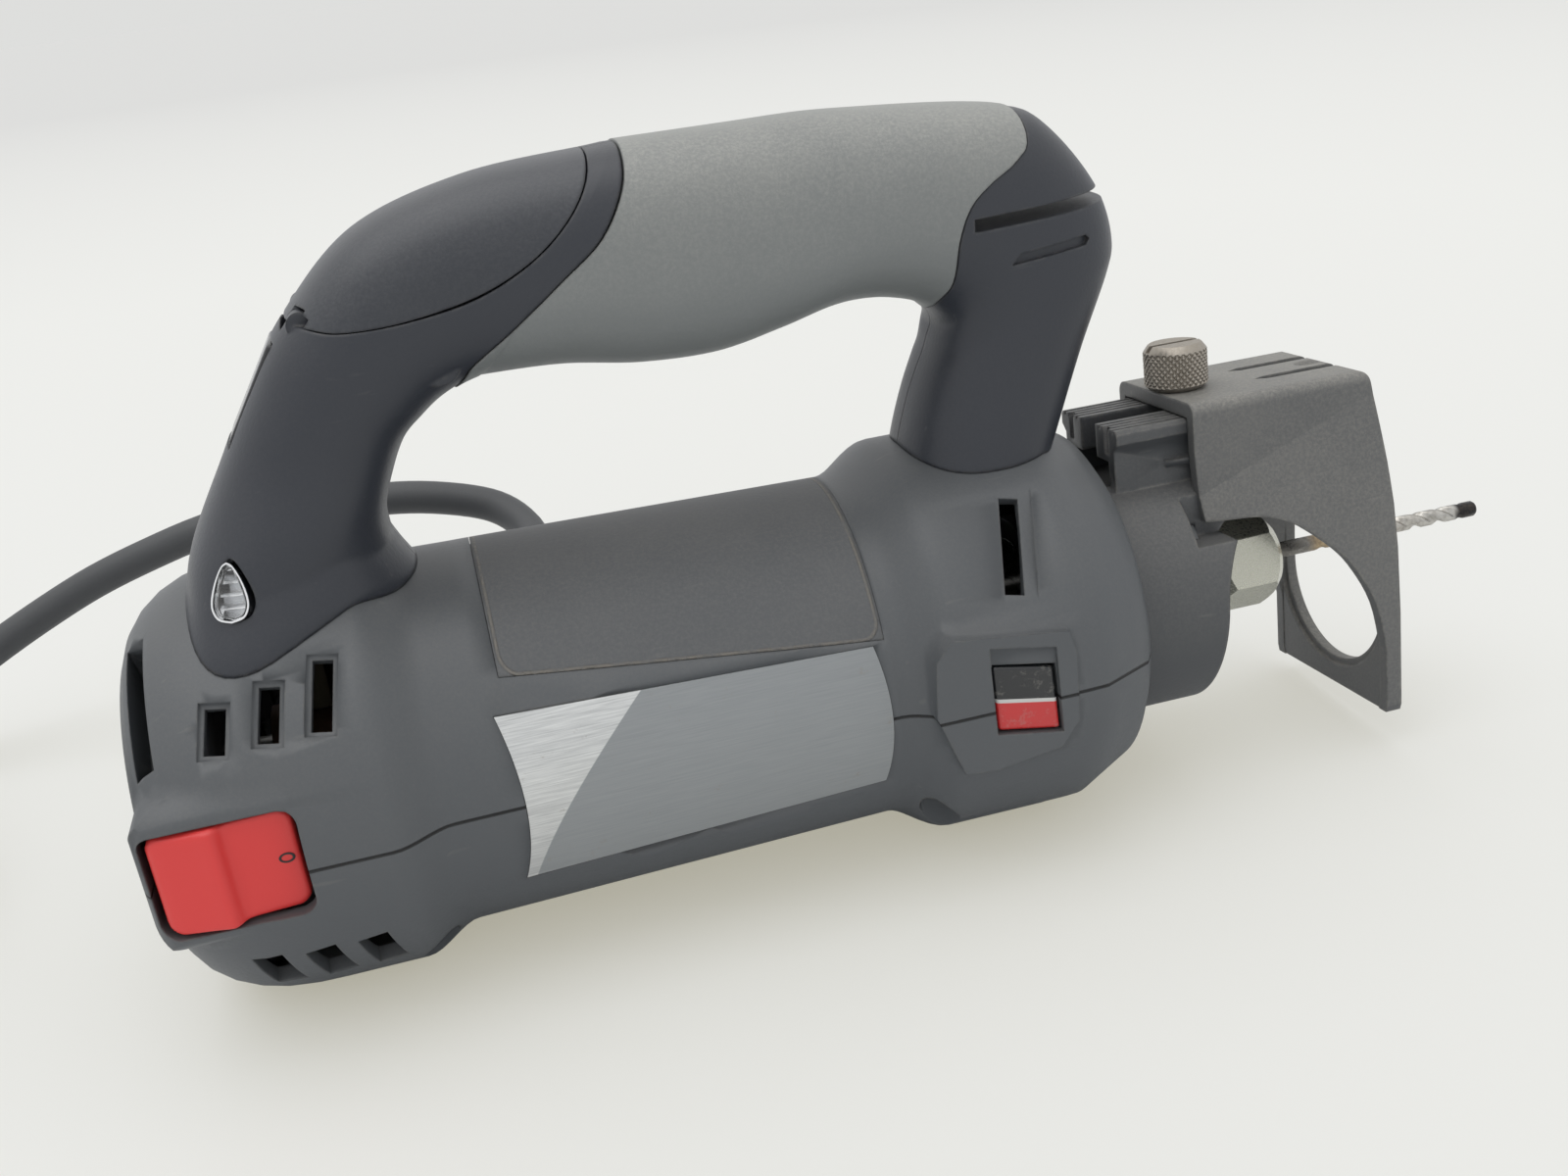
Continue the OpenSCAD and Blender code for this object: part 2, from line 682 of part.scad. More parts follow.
spring_steps = 8 * spring_turns;
spring_rise = spring_len - 2 * spring_wire_d;
spring_path = [for (i = [0:spring_steps])
    let (t = 360 * i * spring_turns / spring_steps)
    [spring_r * cos(t), spring_r * sin(t), spring_wire_d + spring_rise * i / spring_steps]];
module lock_spring() {
    color("silver") place() translate([button_x, -button_guide_out - seat_gap, 0]) rotate([90, 0, 0])
        tube(spring_path, spring_wire_d, 6);
}

// Motor: everything that turns with the spindle, and what stands round it
journal_out = 1.5;
journal_on = 2.5;
spindle_out = 34;
spindle_x = rear_bearing_x - journal_out;
spindle_end_x = rim_x + spindle_out;
collet_body_d = 6.5;
collet_head_d = 10;
collet_len = 17;
collet_head_len = 3;
nut_back = 7;
commutator_room = 7;
fan_room = 7;
nut_x = spindle_end_x - nut_back;
commutator_x = rear_bearing_x + rear_bearing_len + commutator_room;
commutator_len = 14;
fan_x = core_x + core_len + coil_len + fan_room;
fan_len = 11;
fan_plate_t = 2;
fan_hub_d = 20;
blade_t = 1.6;
winding_in = 2;
winding_d = rotor_d - 2 * winding_in;
rotor_slots = 12;
rotor_slot_d = 4;
journal_end_x = rear_bearing_x + rear_bearing_len + seat_gap;
module spindle() {
    color("#b9bcc0") place() difference() {
        union() {
            rod(spindle_x, journal_out + rear_bearing_len + journal_on, journal_d);
            rod(journal_end_x, spindle_end_x - journal_end_x, spindle_d);
        }
        cross_rod(button_x, -spindle_d, 0, 2 * spindle_d, lock_pin_d + 4 * move_gap);
        rod(spindle_end_x - collet_len, collet_len + over, collet_body_d + 2 * run_gap);
    }
}
module rotor_core() {
    color("#8d9094") place() difference() {
        rod(core_x, core_len, rotor_d);
        rod(core_x - over, core_len + 2 * over, spindle_d + 2 * run_gap);
        for (i = [0:rotor_slots - 1]) rotate([360 * i / rotor_slots, 0, 0])
            translate([0, rotor_d / 2, 0]) rod(core_x - over, core_len + 2 * over, rotor_slot_d);
    }
}
module rotor_windings() {
    color("#b5651d") place() for (x = [core_x - coil_len, core_x + core_len + seat_gap])
        ring(x, coil_len - seat_gap, winding_d, spindle_d + 2 * run_gap);
}
module commutator() {
    color("#b87333") place() ring(commutator_x, commutator_len, commutator_d, spindle_d + 2 * run_gap);
}
module cooling_fan() {
    color("#3b3d40") place() {
        ring(fan_x, fan_len, fan_hub_d, spindle_d + 2 * run_gap);
        ring(fan_x, fan_plate_t, fan_d, fan_hub_d - over);
        for (i = [0:fan_blades - 1]) rotate([360 * i / fan_blades, 0, 0])
            block([fan_x + fan_plate_t / 2, fan_hub_d / 2 - over / 2, -blade_t / 2],
                [fan_x + fan_len, fan_d / 2 - over, blade_t / 2]);
    }
}
module rear_bearing() {
    color("#c8cacc") place()
        ring(rear_bearing_x, rear_bearing_len, rear_bearing_d, journal_d + 2 * run_gap);
}
module front_bearing() {
    color("#c8cacc") place()
        ring(front_bearing_x, front_bearing_len, front_bearing_d, spindle_d + 2 * run_gap);
}
module field_core() {
    color("#7d8084") place() ring(core_x, core_len, field_d, field_bore);
}
// Field coils stick out of both ends of the field core, above and below the rotor
coil_share = 0.85;
module field_coils() {
    color("#b87333") place() for (x = [core_x - coil_len, core_x + core_len + seat_gap]) difference() {
        ring(x, coil_len - seat_gap, field_bore + coil_share * (field_d - field_bore), field_bore);
        block([x - over, -field_d, -rotor_d / 4], [x + coil_len + over, field_d, rotor_d / 4]);
    }
}
brush_len = 6.2;
brush_w = 8.2;
brush_h = 13;
holder_wall = 1;
holder_room = 1;
module at_brushes() {
    for (s = [0, 1]) mirror([0, 0, s]) translate([commutator_x + commutator_len / 2, 0, 0]) children();
}
module brush_holders() {
    outer = [brush_len + 2 * holder_wall, brush_w + 2 * holder_wall];
    seat = body_r(commutator_x) - wall;
    top = sqrt(seat * seat - outer[1] * outer[1] / 4) - 3 * seat_gap;
    low = commutator_d / 2 + holder_room;
    color("#a88443") place() at_brushes() difference() {
        translate([0, 0, (top + low) / 2]) cube([outer[0], outer[1], top - low], center = true);
        translate([0, 0, (top + low) / 2 - holder_wall])
            cube([brush_len + 2 * seat_gap, brush_w + 2 * seat_gap, top - low], center = true);
    }
}
module carbon_brushes() {
    color("#2a2a2c") place() at_brushes()
        translate([0, 0, commutator_d / 2 + 3 * seat_gap + brush_h / 2])
            cube([brush_len, brush_w, brush_h], center = true);
}

// Collet, nut and bit
nut_lip = 3;
nut_chamfer = 1.4;
nut_turn = 11;
nut_bore_d = collet_head_d + 4 * seat_gap;
module collet() {
    color("#8f9398") place() difference() {
        union() {
            rod(spindle_end_x - collet_len + seat_gap, collet_len, collet_body_d);
            rod(spindle_end_x + seat_gap, collet_head_len, collet_head_d);
        }
        rod(spindle_end_x - collet_len - over, collet_len + collet_head_len + 2 * over, bit_d + 2 * run_gap);
    }
}
module collet_nut() {
    color("#c9cabf") place() difference() {
        intersection() {
            translate([nut_x, 0, 0]) rotate([0, 90, 0]) rotate([0, 0, 30 + nut_turn])
                cylinder(h = nut_len, d = nut_af / cos(30), $fn = 6);
            turned([
                [0, nut_x], [nut_af / 2, nut_x], [nut_af / 2 + nut_chamfer, nut_x + nut_chamfer],
                [nut_af / 2 + nut_chamfer, nut_x + nut_len - 2 * nut_chamfer],
                [nut_af / 2 - nut_chamfer, nut_x + nut_len], [0, nut_x + nut_len]
            ]);
        }
        rod(nut_x - over, spindle_end_x - nut_x + over, spindle_d + 2 * run_gap);
        rod(spindle_end_x - over, collet_head_len + 2 * seat_gap + over, nut_bore_d);
        rod(nut_x, nut_len + over, bit_d + nut_lip);
    }
}
bit_seat = 2;
bit_x = spindle_end_x - collet_len + bit_seat;
bit_end_x = rim_x + bit_reach;
shank_out = 16;
flute_x = spindle_end_x + shank_out;
flute_d_share = 0.55;
flute_turns = 3.2;
tip_len = 3;
flute_len = bit_end_x - tip_len - flute_x;
flute_slices = 26;
module spiral_bit() {
    color("#b49b6a") place() {
        rod(bit_x, flute_x - bit_x, bit_d);
        translate([flute_x, 0, 0]) rotate([0, 90, 0])
            linear_extrude(height = flute_len, twist = -360 * flute_turns, slices = flute_slices, $fn = 12)
                difference() {
                    circle(d = bit_d);
                    for (s = [-1, 1]) translate([s * bit_d / 2, 0]) circle(d = bit_d * flute_d_share);
                }
        rod(bit_end_x - tip_len, tip_len, bit_d);
    }
}

// Depth guide: collar on the nose, tower with two ribbed rails, and a foot that slides on them
collar_x = rim_x + 2 * seat_gap;
collar_d = nose_d + 2 * (collar_wall + seat_gap);
collar_lip = 4.5;
collar_lip_d = nose_d - 2 * collar_lip;
collar_slope = 3;
collar_cut = 7;
collar_arc_r = 20.5;
rail_in = 3.5;
rail_x = rim_x + rail_in;
rail_t = 4;
rail_lip = 1.6;
rail_bevel = 1.4;
tower_wall = 2.4;
tower_room = 4;
tower_len = rail_len - tower_room;
tower_half = rail_w / 2 - rail_lip;
side_rib_t = 1.2;
side_rib_in = 10;
side_rib_drop = 3.5;
guide_slot_w = 6.4;
rail_grooves = 4;
rail_groove_w = 0.7;
rail_groove_t = 0.6;
rail_notch_d = 1.8;
screw_slot_w = 1.2;
ledge_z = 12;
screw_on = 22.3;
screw_x = rim_x + screw_on;
plate_z = rail_top + 3 * seat_gap;
plate_t = 2.8;
foot_top = plate_z + plate_t;
foot_front_x = rim_x + foot_x + foot_len;
foot_plate_t = 3;
clamp_nut_w = 8;
clamp_nut_t = 3.6;
rail_base_z = rail_top - rail_t;
roof_z = rail_base_z - tower_wall;
module guide() { place() rotate([guide_turn, 0, 0]) children(); }
// Section of one rail: a strip with a bevelled outer edge and grooves along its top
strip_w = rail_w / 2 - guide_slot_w / 2;
groove_pitch = strip_w / (rail_grooves + 1);
module rail_section() {
    difference() {
        translate([guide_slot_w / 2, rail_base_z])
            polygon([
                [0, -over], [strip_w / 2, -over], [strip_w / 2, 0], [strip_w - rail_lip, 0],
                [strip_w, rail_bevel], [strip_w, rail_t - rail_bevel / 2],
                [strip_w - rail_bevel / 2, rail_t], [0, rail_t]
            ]);
        for (i = [1:rail_grooves])
            translate([guide_slot_w / 2 + i * groove_pitch - rail_groove_w / 2, rail_top - rail_groove_t])
                square([rail_groove_w, rail_t]);
    }
}
module guide_collar() {
    color("#26282b") guide() difference() {
        union() {
            rod(collar_x, collar_len, collar_d);
            block([rail_x, -tower_half, nose_d / 2 - tower_wall],
                [rail_x + tower_len, tower_half, rail_base_z]);
            for (s = [0, 1]) mirror([0, s, 0]) {
                translate([rail_x, 0, 0]) rotate([90, 0, 90])
                    linear_extrude(height = rail_len) rail_section();
                block([rail_x + side_rib_in, tower_half - over, rail_base_z - side_rib_drop - side_rib_t],
                    [rail_x + tower_len, tower_half + side_rib_t, rail_base_z - side_rib_drop]);
            }
        }
        // Bore with a stop lip past the nose, slanted front, flat flanks and the hollow of the tower
        rod(collar_x - over, nose_len + over, nose_d + 2 * seat_gap);
        rod(collar_x, rail_len + over, collar_lip_d);
        translate([collar_x + collar_len - collar_cut, 0, 0]) {
            rotate([0, collar_slope, 0]) block([0, -collar_d, -collar_d], [collar_d, collar_d, 0]);
            cross_rod(collar_arc_r, -collar_d, 0, 2 * collar_d, 2 * collar_arc_r);
        }
        for (s = [0, 1]) mirror([0, s, 0])
            block([rim_x + foot_x - guide_back - move_gap, foot_room, ledge_z],
                [rail_x + rail_len, collar_d, collar_d]);
        block([rail_x - over, -tower_half + tower_wall, nose_d / 2 + tower_wall],
            [rail_x + rail_len, tower_half - tower_wall, roof_z]);
        block([rail_x - 2 * over, -guide_slot_w / 2, roof_z - over],
            [rail_x + rail_len + over, guide_slot_w / 2, rail_top + over]);
        for (s = [-1, 1])
            post(rail_x, s * (guide_slot_w + strip_w) / 2, rail_base_z - over,
                rail_t + 2 * over, rail_notch_d);
    }
}
// Side view of the foot: share of its length from the rear, share of its height from its lower edge
foot_side_shares = [
    [0, 1], [0, 0.86], [0.01, 0.76], [0.025, 0.672], [0.1, 0.668], [0.28, 0.66], [0.4, 0.64], [0.52, 0.6],
    [0.68, 0.52], [0.78, 0.445], [0.87, 0.34], [0.92, 0.2], [0.92, 0], [1, 0], [1, 0.62], [0.985, 0.74],
    [0.95, 0.87], [0.92, 0.95], [0.86, 1]
];
// Half of the front plate: share of half the width at its base, share of its height
foot_plate_shares = [[0.96, 0], [1, 0.02], [0.995, 0.3], [0.95, 0.55], [0.87, 0.78], [0.75, 1]];
foot_h = foot_top + foot_drop;
// Half the width inside the foot's walls where they pass the top of the collar, less their gap
foot_half_shares = [for (p = foot_plate_shares) [p[1], p[0]]];
foot_half = foot_base_w / 2 * lookup((collar_d / 2 + foot_drop) / foot_h, foot_half_shares);
foot_room = foot_half - foot_t - move_gap;
module foot_outline(inset) {
    half = foot_base_w / 2;
    right = [for (p = foot_plate_shares) [p[0] * half - inset, max(p[1] * foot_h, inset)]];
    left = [for (i = [len(right) - 1:-1:0]) [-right[i][0], right[i][1]]];
    polygon(concat(right, left));
}
hole_drop_share = 0.25;
module foot_hole() {
    drop = foot_hole_w * hole_drop_share;
    for (z = [0, -drop]) translate([0, foot_drop + z]) circle(d = foot_hole_w, $fn = round_fn);
    translate([-foot_hole_w / 2, foot_drop - drop]) square([foot_hole_w, drop]);
}
// Lays an outline of width and height across the tool and makes it thick along the spindle
module across(x, t) {
    translate([x, 0, -foot_drop]) rotate([90, 0, 90]) linear_extrude(height = t) children();
}
foot_slot_w = 2.4;
foot_brow = 6.5;
module guide_foot() {
    x0 = rim_x + foot_x;
    color("#2a2c2f") guide() difference() {
        intersection() {
            union() {
                block([x0, -foot_w / 2, plate_z], [foot_front_x, foot_w / 2, foot_top]);
                across(x0, foot_len) difference() {
                    foot_outline(0);
                    foot_outline(foot_t);
                }
                block([foot_front_x - foot_brow, -foot_w / 2, foot_hole_w / 2 + foot_t],
                    [foot_front_x, foot_w / 2, foot_top]);
                across(foot_front_x - foot_plate_t, foot_plate_t) difference() {
                    foot_outline(0);
                    foot_hole();
                }
            }
            translate([x0, foot_base_w, -foot_drop]) rotate([90, 0, 0])
                linear_extrude(height = 2 * foot_base_w)
                    polygon([for (p = foot_side_shares) [p[0] * foot_len, p[1] * foot_h]]);
        }
        post(screw_x, 0, plate_z - over, plate_t + 2 * over, screw_d + 4 * run_gap);
        for (s = [-1, 1])
            translate([foot_front_x - foot_len / 2, s * foot_w / 6 - foot_slot_w / 2, foot_top - plate_t / 2])
                cube([foot_len, foot_slot_w, plate_t]);
    }
}
screw_len = plate_t + rail_t + tower_wall + clamp_nut_t;
module guide_thumbscrew() {
    color("#9b9487") guide() difference() {
        union() {
            post(screw_x, 0, foot_top + seat_gap, screw_head_h, screw_head_d);
            post(screw_x, 0, foot_top - screw_len, screw_len + over, screw_d);
        }
        translate([screw_x, 0, foot_top + screw_head_h])
            cube([screw_head_d * 2, screw_slot_w, screw_slot_w * 2], center = true);
    }
}
module guide_clamp_nut() {
    color("#b9bcc0") guide() difference() {
        translate([screw_x, 0, roof_z - clamp_nut_t / 2 - seat_gap])
            cube([clamp_nut_w, clamp_nut_w, clamp_nut_t], center = true);
        post(screw_x, 0, roof_z - 2 * clamp_nut_t, 3 * clamp_nut_t, screw_d + 2 * run_gap);
    }
}

// Handle: sections along the closed bow, each a share of the reach and of the height of the handle
// Values: outer edge along and up, inner edge along and up, half width as a share of half the grip's width
handle_reach = rim_x + handle_overhang;
handle_section_shares = [
    [0.068, 0.200, 0.270, 0.200, 1.44], [0.071, 0.306, 0.270, 0.316, 1.40],
    [0.075, 0.378, 0.264, 0.388, 1.32], [0.090, 0.459, 0.264, 0.459, 1.18],
    [0.130, 0.582, 0.279, 0.531, 1.02], [0.166, 0.690, 0.295, 0.582, 0.98],
    [0.210, 0.801, 0.314, 0.612, 0.97], [0.284, 0.923, 0.330, 0.633, 0.97],
    [0.388, 0.982, 0.347, 0.649, 0.98], [0.503, 0.998, 0.363, 0.659, 1.00],
    [0.521, 1.000, 0.374, 0.662, 1.00], [0.574, 1.000, 0.442, 0.657, 1.00],
    [0.634, 1.000, 0.514, 0.636, 1.00], [0.699, 1.000, 0.585, 0.632, 1.00],
    [0.760, 0.993, 0.645, 0.653, 1.00], [0.814, 0.985, 0.699, 0.677, 0.98],
    [0.858, 0.976, 0.743, 0.678, 0.96], [0.891, 0.965, 0.784, 0.659, 0.94],
    [0.916, 0.947, 0.801, 0.633, 0.92], [0.950, 0.882, 0.806, 0.607, 0.90],
    [0.978, 0.801, 0.801, 0.582, 0.88], [0.989, 0.724, 0.796, 0.556, 0.87],
    [0.984, 0.668, 0.788, 0.526, 0.87], [0.955, 0.541, 0.776, 0.474, 0.88],
    [0.929, 0.418, 0.763, 0.398, 0.92], [0.907, 0.316, 0.754, 0.316, 0.98],
    [0.893, 0.240, 0.749, 0.240, 1.00]
];
// How much wider the rear of the lowest sections is than their front
base_taper_shares = [0.4, 0.38, 0.28, 0.12];
function taper_share(i) = i < len(base_taper_shares) ? base_taper_shares[i] : 0;
last_section = len(handle_section_shares) - 1;
coarse_sections = [for (i = [0:last_section]) concat(handle_section_shares[i], [taper_share(i)])];
// Smooth curve through four neighbours
function spline(a, b, c, d, t) =
    b + (c - a) * t / 2 + (2 * a - 5 * b + 4 * c - d) * t * t / 2 + (3 * b - a - 3 * c + d) * t * t * t / 2;
section_steps = 2;
function section(n) =
    let (i = min(floor(n / section_steps), last_section - 1), t = n / section_steps - i, c = coarse_sections)
    spline(c[max(i - 1, 0)], c[i], c[i + 1], c[min(i + 2, last_section)], t);
fine_last = last_section * section_steps;
arc_points = round(round_fn / 8);
square_power = 0.8;
function super(c) = sign(c) * pow(abs(c), square_power);
// A point of a section: along is from the inner to the outer edge, across is sideways
function section_point(n, along, across, inset) =
    let (s = section(n),
        outer = [s[0] * handle_reach, s[1] * handle_top],
        inner = [s[2] * handle_reach, s[3] * handle_top],
        half = norm(outer - inner) / 2,
        p = (outer + inner) / 2 + (outer - inner) / 2 / half * along * (half - inset))
    [p[0], across * (s[4] * handle_w / 2 * (1 + along * s[5]) - inset), p[1]];
function round_point(n, t, inset) = section_point(n, super(cos(t)), -super(sin(t)), inset);
function half_arc(n, inset, from, to) =
    [for (k = [0:arc_points]) round_point(n, lerp(from, to, k / arc_points), inset)];
function full_ring(n, inset) =
    [for (k = [0:2 * arc_points - 1]) round_point(n, 180 * k / arc_points, inset)];
function turned_over(faces) = [for (f = faces) [f[0], f[2], f[1]]];
function moved_on(faces, base) = [for (f = faces) f + [base, base, base]];
// Half shell: each ring runs along the outside and back along the inside
function shell_ring(n) = concat(half_arc(n, 0, 0, 180), half_arc(n, handle_wall, 180, 0));
function strip_caps(rings, sides) = [
    for (j = [0:sides / 2 - 2])
        let (o = (rings - 1) * sides, k = sides - 1 - j)
        each [[j, j + 1, k], [j + 1, k - 1, k], [o + j, o + k, o + j + 1], [o + j + 1, o + k, o + k - 1]]
];
module half_shell() {
    sides = 2 * (arc_points + 1);
    rings = fine_last + 1;
    polyhedron(
        points = [for (n = [0:fine_last]) each shell_ring(n)],
        faces = turned_over(concat(wall_faces(rings, sides), strip_caps(rings, sides))));
}
// Solid bow between two coarse sections, set in by a depth
module bow(first, last, inset) {
    sides = 2 * arc_points;
    rings = (last - first) * section_steps + 1;
    polyhedron(
        points = [for (n = [first * section_steps:last * section_steps]) each full_ring(n, inset)],
        faces = turned_over(concat(wall_faces(rings, sides), cap_faces(rings, sides))));
}
// Closed sleeve between two coarse sections, with its outside and its bore set in by two depths
module sleeve(first, last, inset_out, inset_in) {
    sides = 2 * arc_points;
    rings = (last - first) * section_steps + 1;
    base = rings * sides;
    polyhedron(
        points = [for (inset = [inset_out, inset_in], n = [first * section_steps:last * section_steps])
            each full_ring(n, inset)],
        faces = concat(
            turned_over(wall_faces(rings, sides)),
            moved_on(wall_faces(rings, sides), base),
            [for (j = [0:sides - 1]) let (k = (j + 1) % sides, o = (rings - 1) * sides)
                each [[j, k, base + j], [k, base + k, base + j],
                    [o + j, base + o + j, o + k], [o + k, base + o + j, base + o + k]]]));
}
// Soft grip: its rear and front borders on the side of the handle
grip_rear_shares = [
    [0.530, 1.061], [0.524, 1.000], [0.515, 0.941], [0.489, 0.870], [0.450, 0.815],
    [0.400, 0.746], [0.366, 0.700], [0.354, 0.672], [0.333, 0.612]
];
grip_front_shares = [
    [0.796, 0.592], [0.799, 0.658], [0.808, 0.698], [0.812, 0.772], [0.824, 0.826],
    [0.845, 0.860], [0.874, 0.890], [0.890, 0.928], [0.890, 1.061]
];
grip_span_shares = [0.27, 0.77];
grip_first = round(grip_span_shares[0] * last_section);
grip_last = round(grip_span_shares[1] * last_section);
module grip_space(depth) {
    intersection() {
        sleeve(grip_first, grip_last, -over, depth);
        bow_space(concat(grip_rear_shares, grip_front_shares), handle_w);
    }
}
// Storage cover: seam along the side of the handle, from the hinge to the front end
cover_seam_shares = [
    [0.215, 0.808], [0.233, 0.799], [0.262, 0.789], [0.317, 0.792], [0.377, 0.812],
    [0.426, 0.852], [0.462, 0.903], [0.486, 0.959], [0.498, 1.020]
];
cover_back_shares = [[0.498, 1.120], [0.188, 1.120], [0.188, 0.860]];
hinge_x_share = 0.2284;
hinge_z_share = 0.8000;
hinge_x = hinge_x_share * handle_reach;
hinge_z = hinge_z_share * handle_top;
cover_span_shares = [0.19, 0.385];
cover_first = round(cover_span_shares[0] * last_section);
cover_last = round(cover_span_shares[1] * last_section);
barrel_share = 0.62;
barrel_len = barrel_share * handle_w;
ear_len = 3;
// Room round the barrel, wide enough for the cover's edge to swing through
cover_swing_gap = 1.2;
module bow_space(points, half_w) {
    translate([0, half_w, 0]) rotate([90, 0, 0]) linear_extrude(height = 2 * half_w)
        polygon([for (p = points) [p[0] * handle_reach, p[1] * handle_top]]);
}
module cover_space() { bow_space(concat(cover_seam_shares, cover_back_shares), handle_w); }
// Release paddle on the rear edge of the rear leg, hung from a pin at its top
paddle_x_share = 0.191;
paddle_z_share = 0.757;
paddle_lean = 33;
module at_paddle() {
    translate([paddle_x_share * handle_reach, 0, paddle_z_share * handle_top])
        rotate([0, paddle_lean, 0]) children();
}
paddle_pin_in = 2;
// The paddle with a gap all round, and with room behind it to swing in
module paddle_space(gap, room) {
    at_paddle() translate([-gap - room, 0, 0]) rotate([90, 0, 0]) translate([0, 0, -paddle_w / 2 - gap])
        linear_extrude(height = paddle_w + 2 * gap)
            polygon([
                [0, pin_d + gap], [paddle_t + 2 * gap + 2 * room, pin_d + gap],
                [paddle_t + 2 * gap + 2 * room, -paddle_len - gap], [0, -paddle_len - gap]
            ]);
}
// Screws that hold the two shells together, entered from the far side
handle_screw_shares = [[0.204, 0.52], [0.334, 0.71], [0.869, 0.45]];
handle_boss_d = 7;
boss_half_share = 0.44;
handle_boss_half = boss_half_share * handle_w;
handle_screw_d = 2.6;
handle_screw_head_d = 5.4;
module at_handle_screws() {
    for (p = handle_screw_shares) translate([p[0] * handle_reach, 0, p[1] * handle_top]) children();
}
// Indicator lens: a drop shape on the near side of the rear leg, square to the surface there
lens_x_share = 0.1247;
lens_z_share = 0.42;
lens_w = 6.2;
lens_h = 9.4;
lens_t = 5;
lens_tilt = 25;
lens_yaw = 14;
lens_out = 19.6;
module at_lens() {
    translate([lens_x_share * handle_reach, -lens_out, lens_z_share * handle_top])
        rotate([0, 0, -lens_yaw]) rotate([90 - lens_tilt, 0, 0]) children();
}
module drop(grow) {
    r = lens_w / 2;
    translate([0, r - lens_h / 2]) circle(r = r + grow, $fn = round_fn);
    polygon([
        [-r - grow, r - lens_h / 2], [r + grow, r - lens_h / 2],
        [r / 3 + grow, lens_h / 2 + grow], [-r / 3 - grow, lens_h / 2 + grow]
    ]);
}
// What both shells leave out: the cover, the wrench slot, the paddle and the pins
slot_x_share = 0.8274;
slot_z_share = 0.783;
slot_rise = -1.5;
module shell_cuts() {
    cover_room();
    translate([slot_x_share * handle_reach, -handle_w, slot_z_share * handle_top]) rotate([0, slot_rise, 0])
        cube([handle_reach, 2 * handle_w, wrench_slot_h]);
    paddle_space(move_gap, paddle_len * sin(paddle_press));
    barrel_half = barrel_len / 2 + move_gap;
    pin_half = barrel_len / 2 + 2 * ear_len;
    cross_rod(hinge_x, -barrel_half, hinge_z, 2 * barrel_half, barrel_d + 2 * cover_swing_gap);
    cross_rod(hinge_x, -pin_half, hinge_z, 2 * pin_half, pin_d + 2 * run_gap);
    at_paddle() cross_rod(paddle_pin_in, -paddle_w, 0, 2 * paddle_w, pin_d + 2 * run_gap);
}
// Space of the cover with its clearance all round the seam
module cover_room() {
    for (dx = [-move_gap, move_gap], dz = [-move_gap, 0]) translate([dx, 0, dz]) cover_space();
}
// Ears at the two ends of the hinge barrel
module hinge_ears(gap) {
    for (s = [0, 1]) mirror([0, s, 0])
        cross_rod(hinge_x, barrel_len / 2 + move_gap - gap, hinge_z, ear_len + 2 * gap, barrel_d + 2 * gap);
}
module shell_body() {
    difference() {
        difference() {
            half_shell();
            turned(grown_profile(2 * seat_gap));
        }
        cover_room();
        grip_space(grip_t + seat_gap);
    }
    intersection() {
        at_handle_screws() cross_rod(0, -handle_w, 0, handle_w, handle_boss_d);
        bow(0, last_section, handle_wall / 2);
    }
    intersection() {
        hinge_ears(0);
        block([0, -handle_w, 0], [handle_reach, 0, 2 * handle_top]);
    }
}
module handle_near_shell() {
    color("#2c2f33") place() difference() {
        shell_body();
        shell_cuts();
        at_handle_screws()
            cross_rod(0, -handle_boss_half + wall, 0, handle_boss_half, handle_screw_d + 2 * run_gap);
        at_lens() translate([0, 0, -lens_t]) linear_extrude(height = 3 * lens_t) drop(seat_gap);
    }
}
module handle_far_shell() {
    color("#2c2f33") place() difference() {
        mirror([0, 1, 0]) shell_body();
        shell_cuts();
        at_handle_screws() {
            cross_rod(0, -over, 0, handle_w, handle_screw_d + 2 * seat_gap);
            cross_rod(0, handle_boss_half - wall, 0, handle_w, handle_screw_head_d + 2 * seat_gap);
        }
    }
}
module handle_grip() {
    color("#7c8180") place() intersection() {
        grip_space(grip_t);
        bow(grip_first - 1, grip_last + 1, 0);
    }
}
module handle_screws() {
    color("silver") place() at_handle_screws() {
        cross_rod(0, -handle_boss_half + 2 * wall, 0, 2 * handle_boss_half - 2 * wall, handle_screw_d);
        cross_rod(0, handle_boss_half - wall + seat_gap, 0, wall, handle_screw_head_d);
    }
}
module storage_cover() {
    color("#26282b") place() difference() {
        union() {
            intersection() {
                sleeve(cover_first, cover_last, 0, handle_wall);
                cover_space();
            }
            cross_rod(hinge_x, -barrel_len / 2, hinge_z, barrel_len, barrel_d);
        }
        hinge_ears(move_gap);
        cross_rod(hinge_x, -handle_w, hinge_z, 2 * handle_w, pin_d + 2 * run_gap);
    }
}
module cover_hinge_pin() {
    half = barrel_len / 2 + move_gap + ear_len - seat_gap;
    color("silver") place() cross_rod(hinge_x, -half, hinge_z, 2 * half, pin_d);
}
module release_paddle() {
    color("#111214") place() difference() {
        paddle_space(0, 0);
        at_paddle() cross_rod(paddle_pin_in, -paddle_w, 0, 2 * paddle_w, pin_d + 2 * run_gap);
    }
}
module paddle_pin() {
    half = paddle_w / 2 + wall;
    color("silver") place() at_paddle() cross_rod(paddle_pin_in, -half, 0, 2 * half, pin_d);
}
module indicator_lens() {
    color("#d8dde0") place() at_lens() translate([0, 0, wall - lens_t])
        linear_extrude(height = lens_t - wall) drop(0);
}
module lens_reflector() {
    color("#c0c4c8") place() at_lens() translate([0, 0, wall / 2 - lens_t])
        linear_extrude(height = wall / 2) drop(-seat_gap);
}

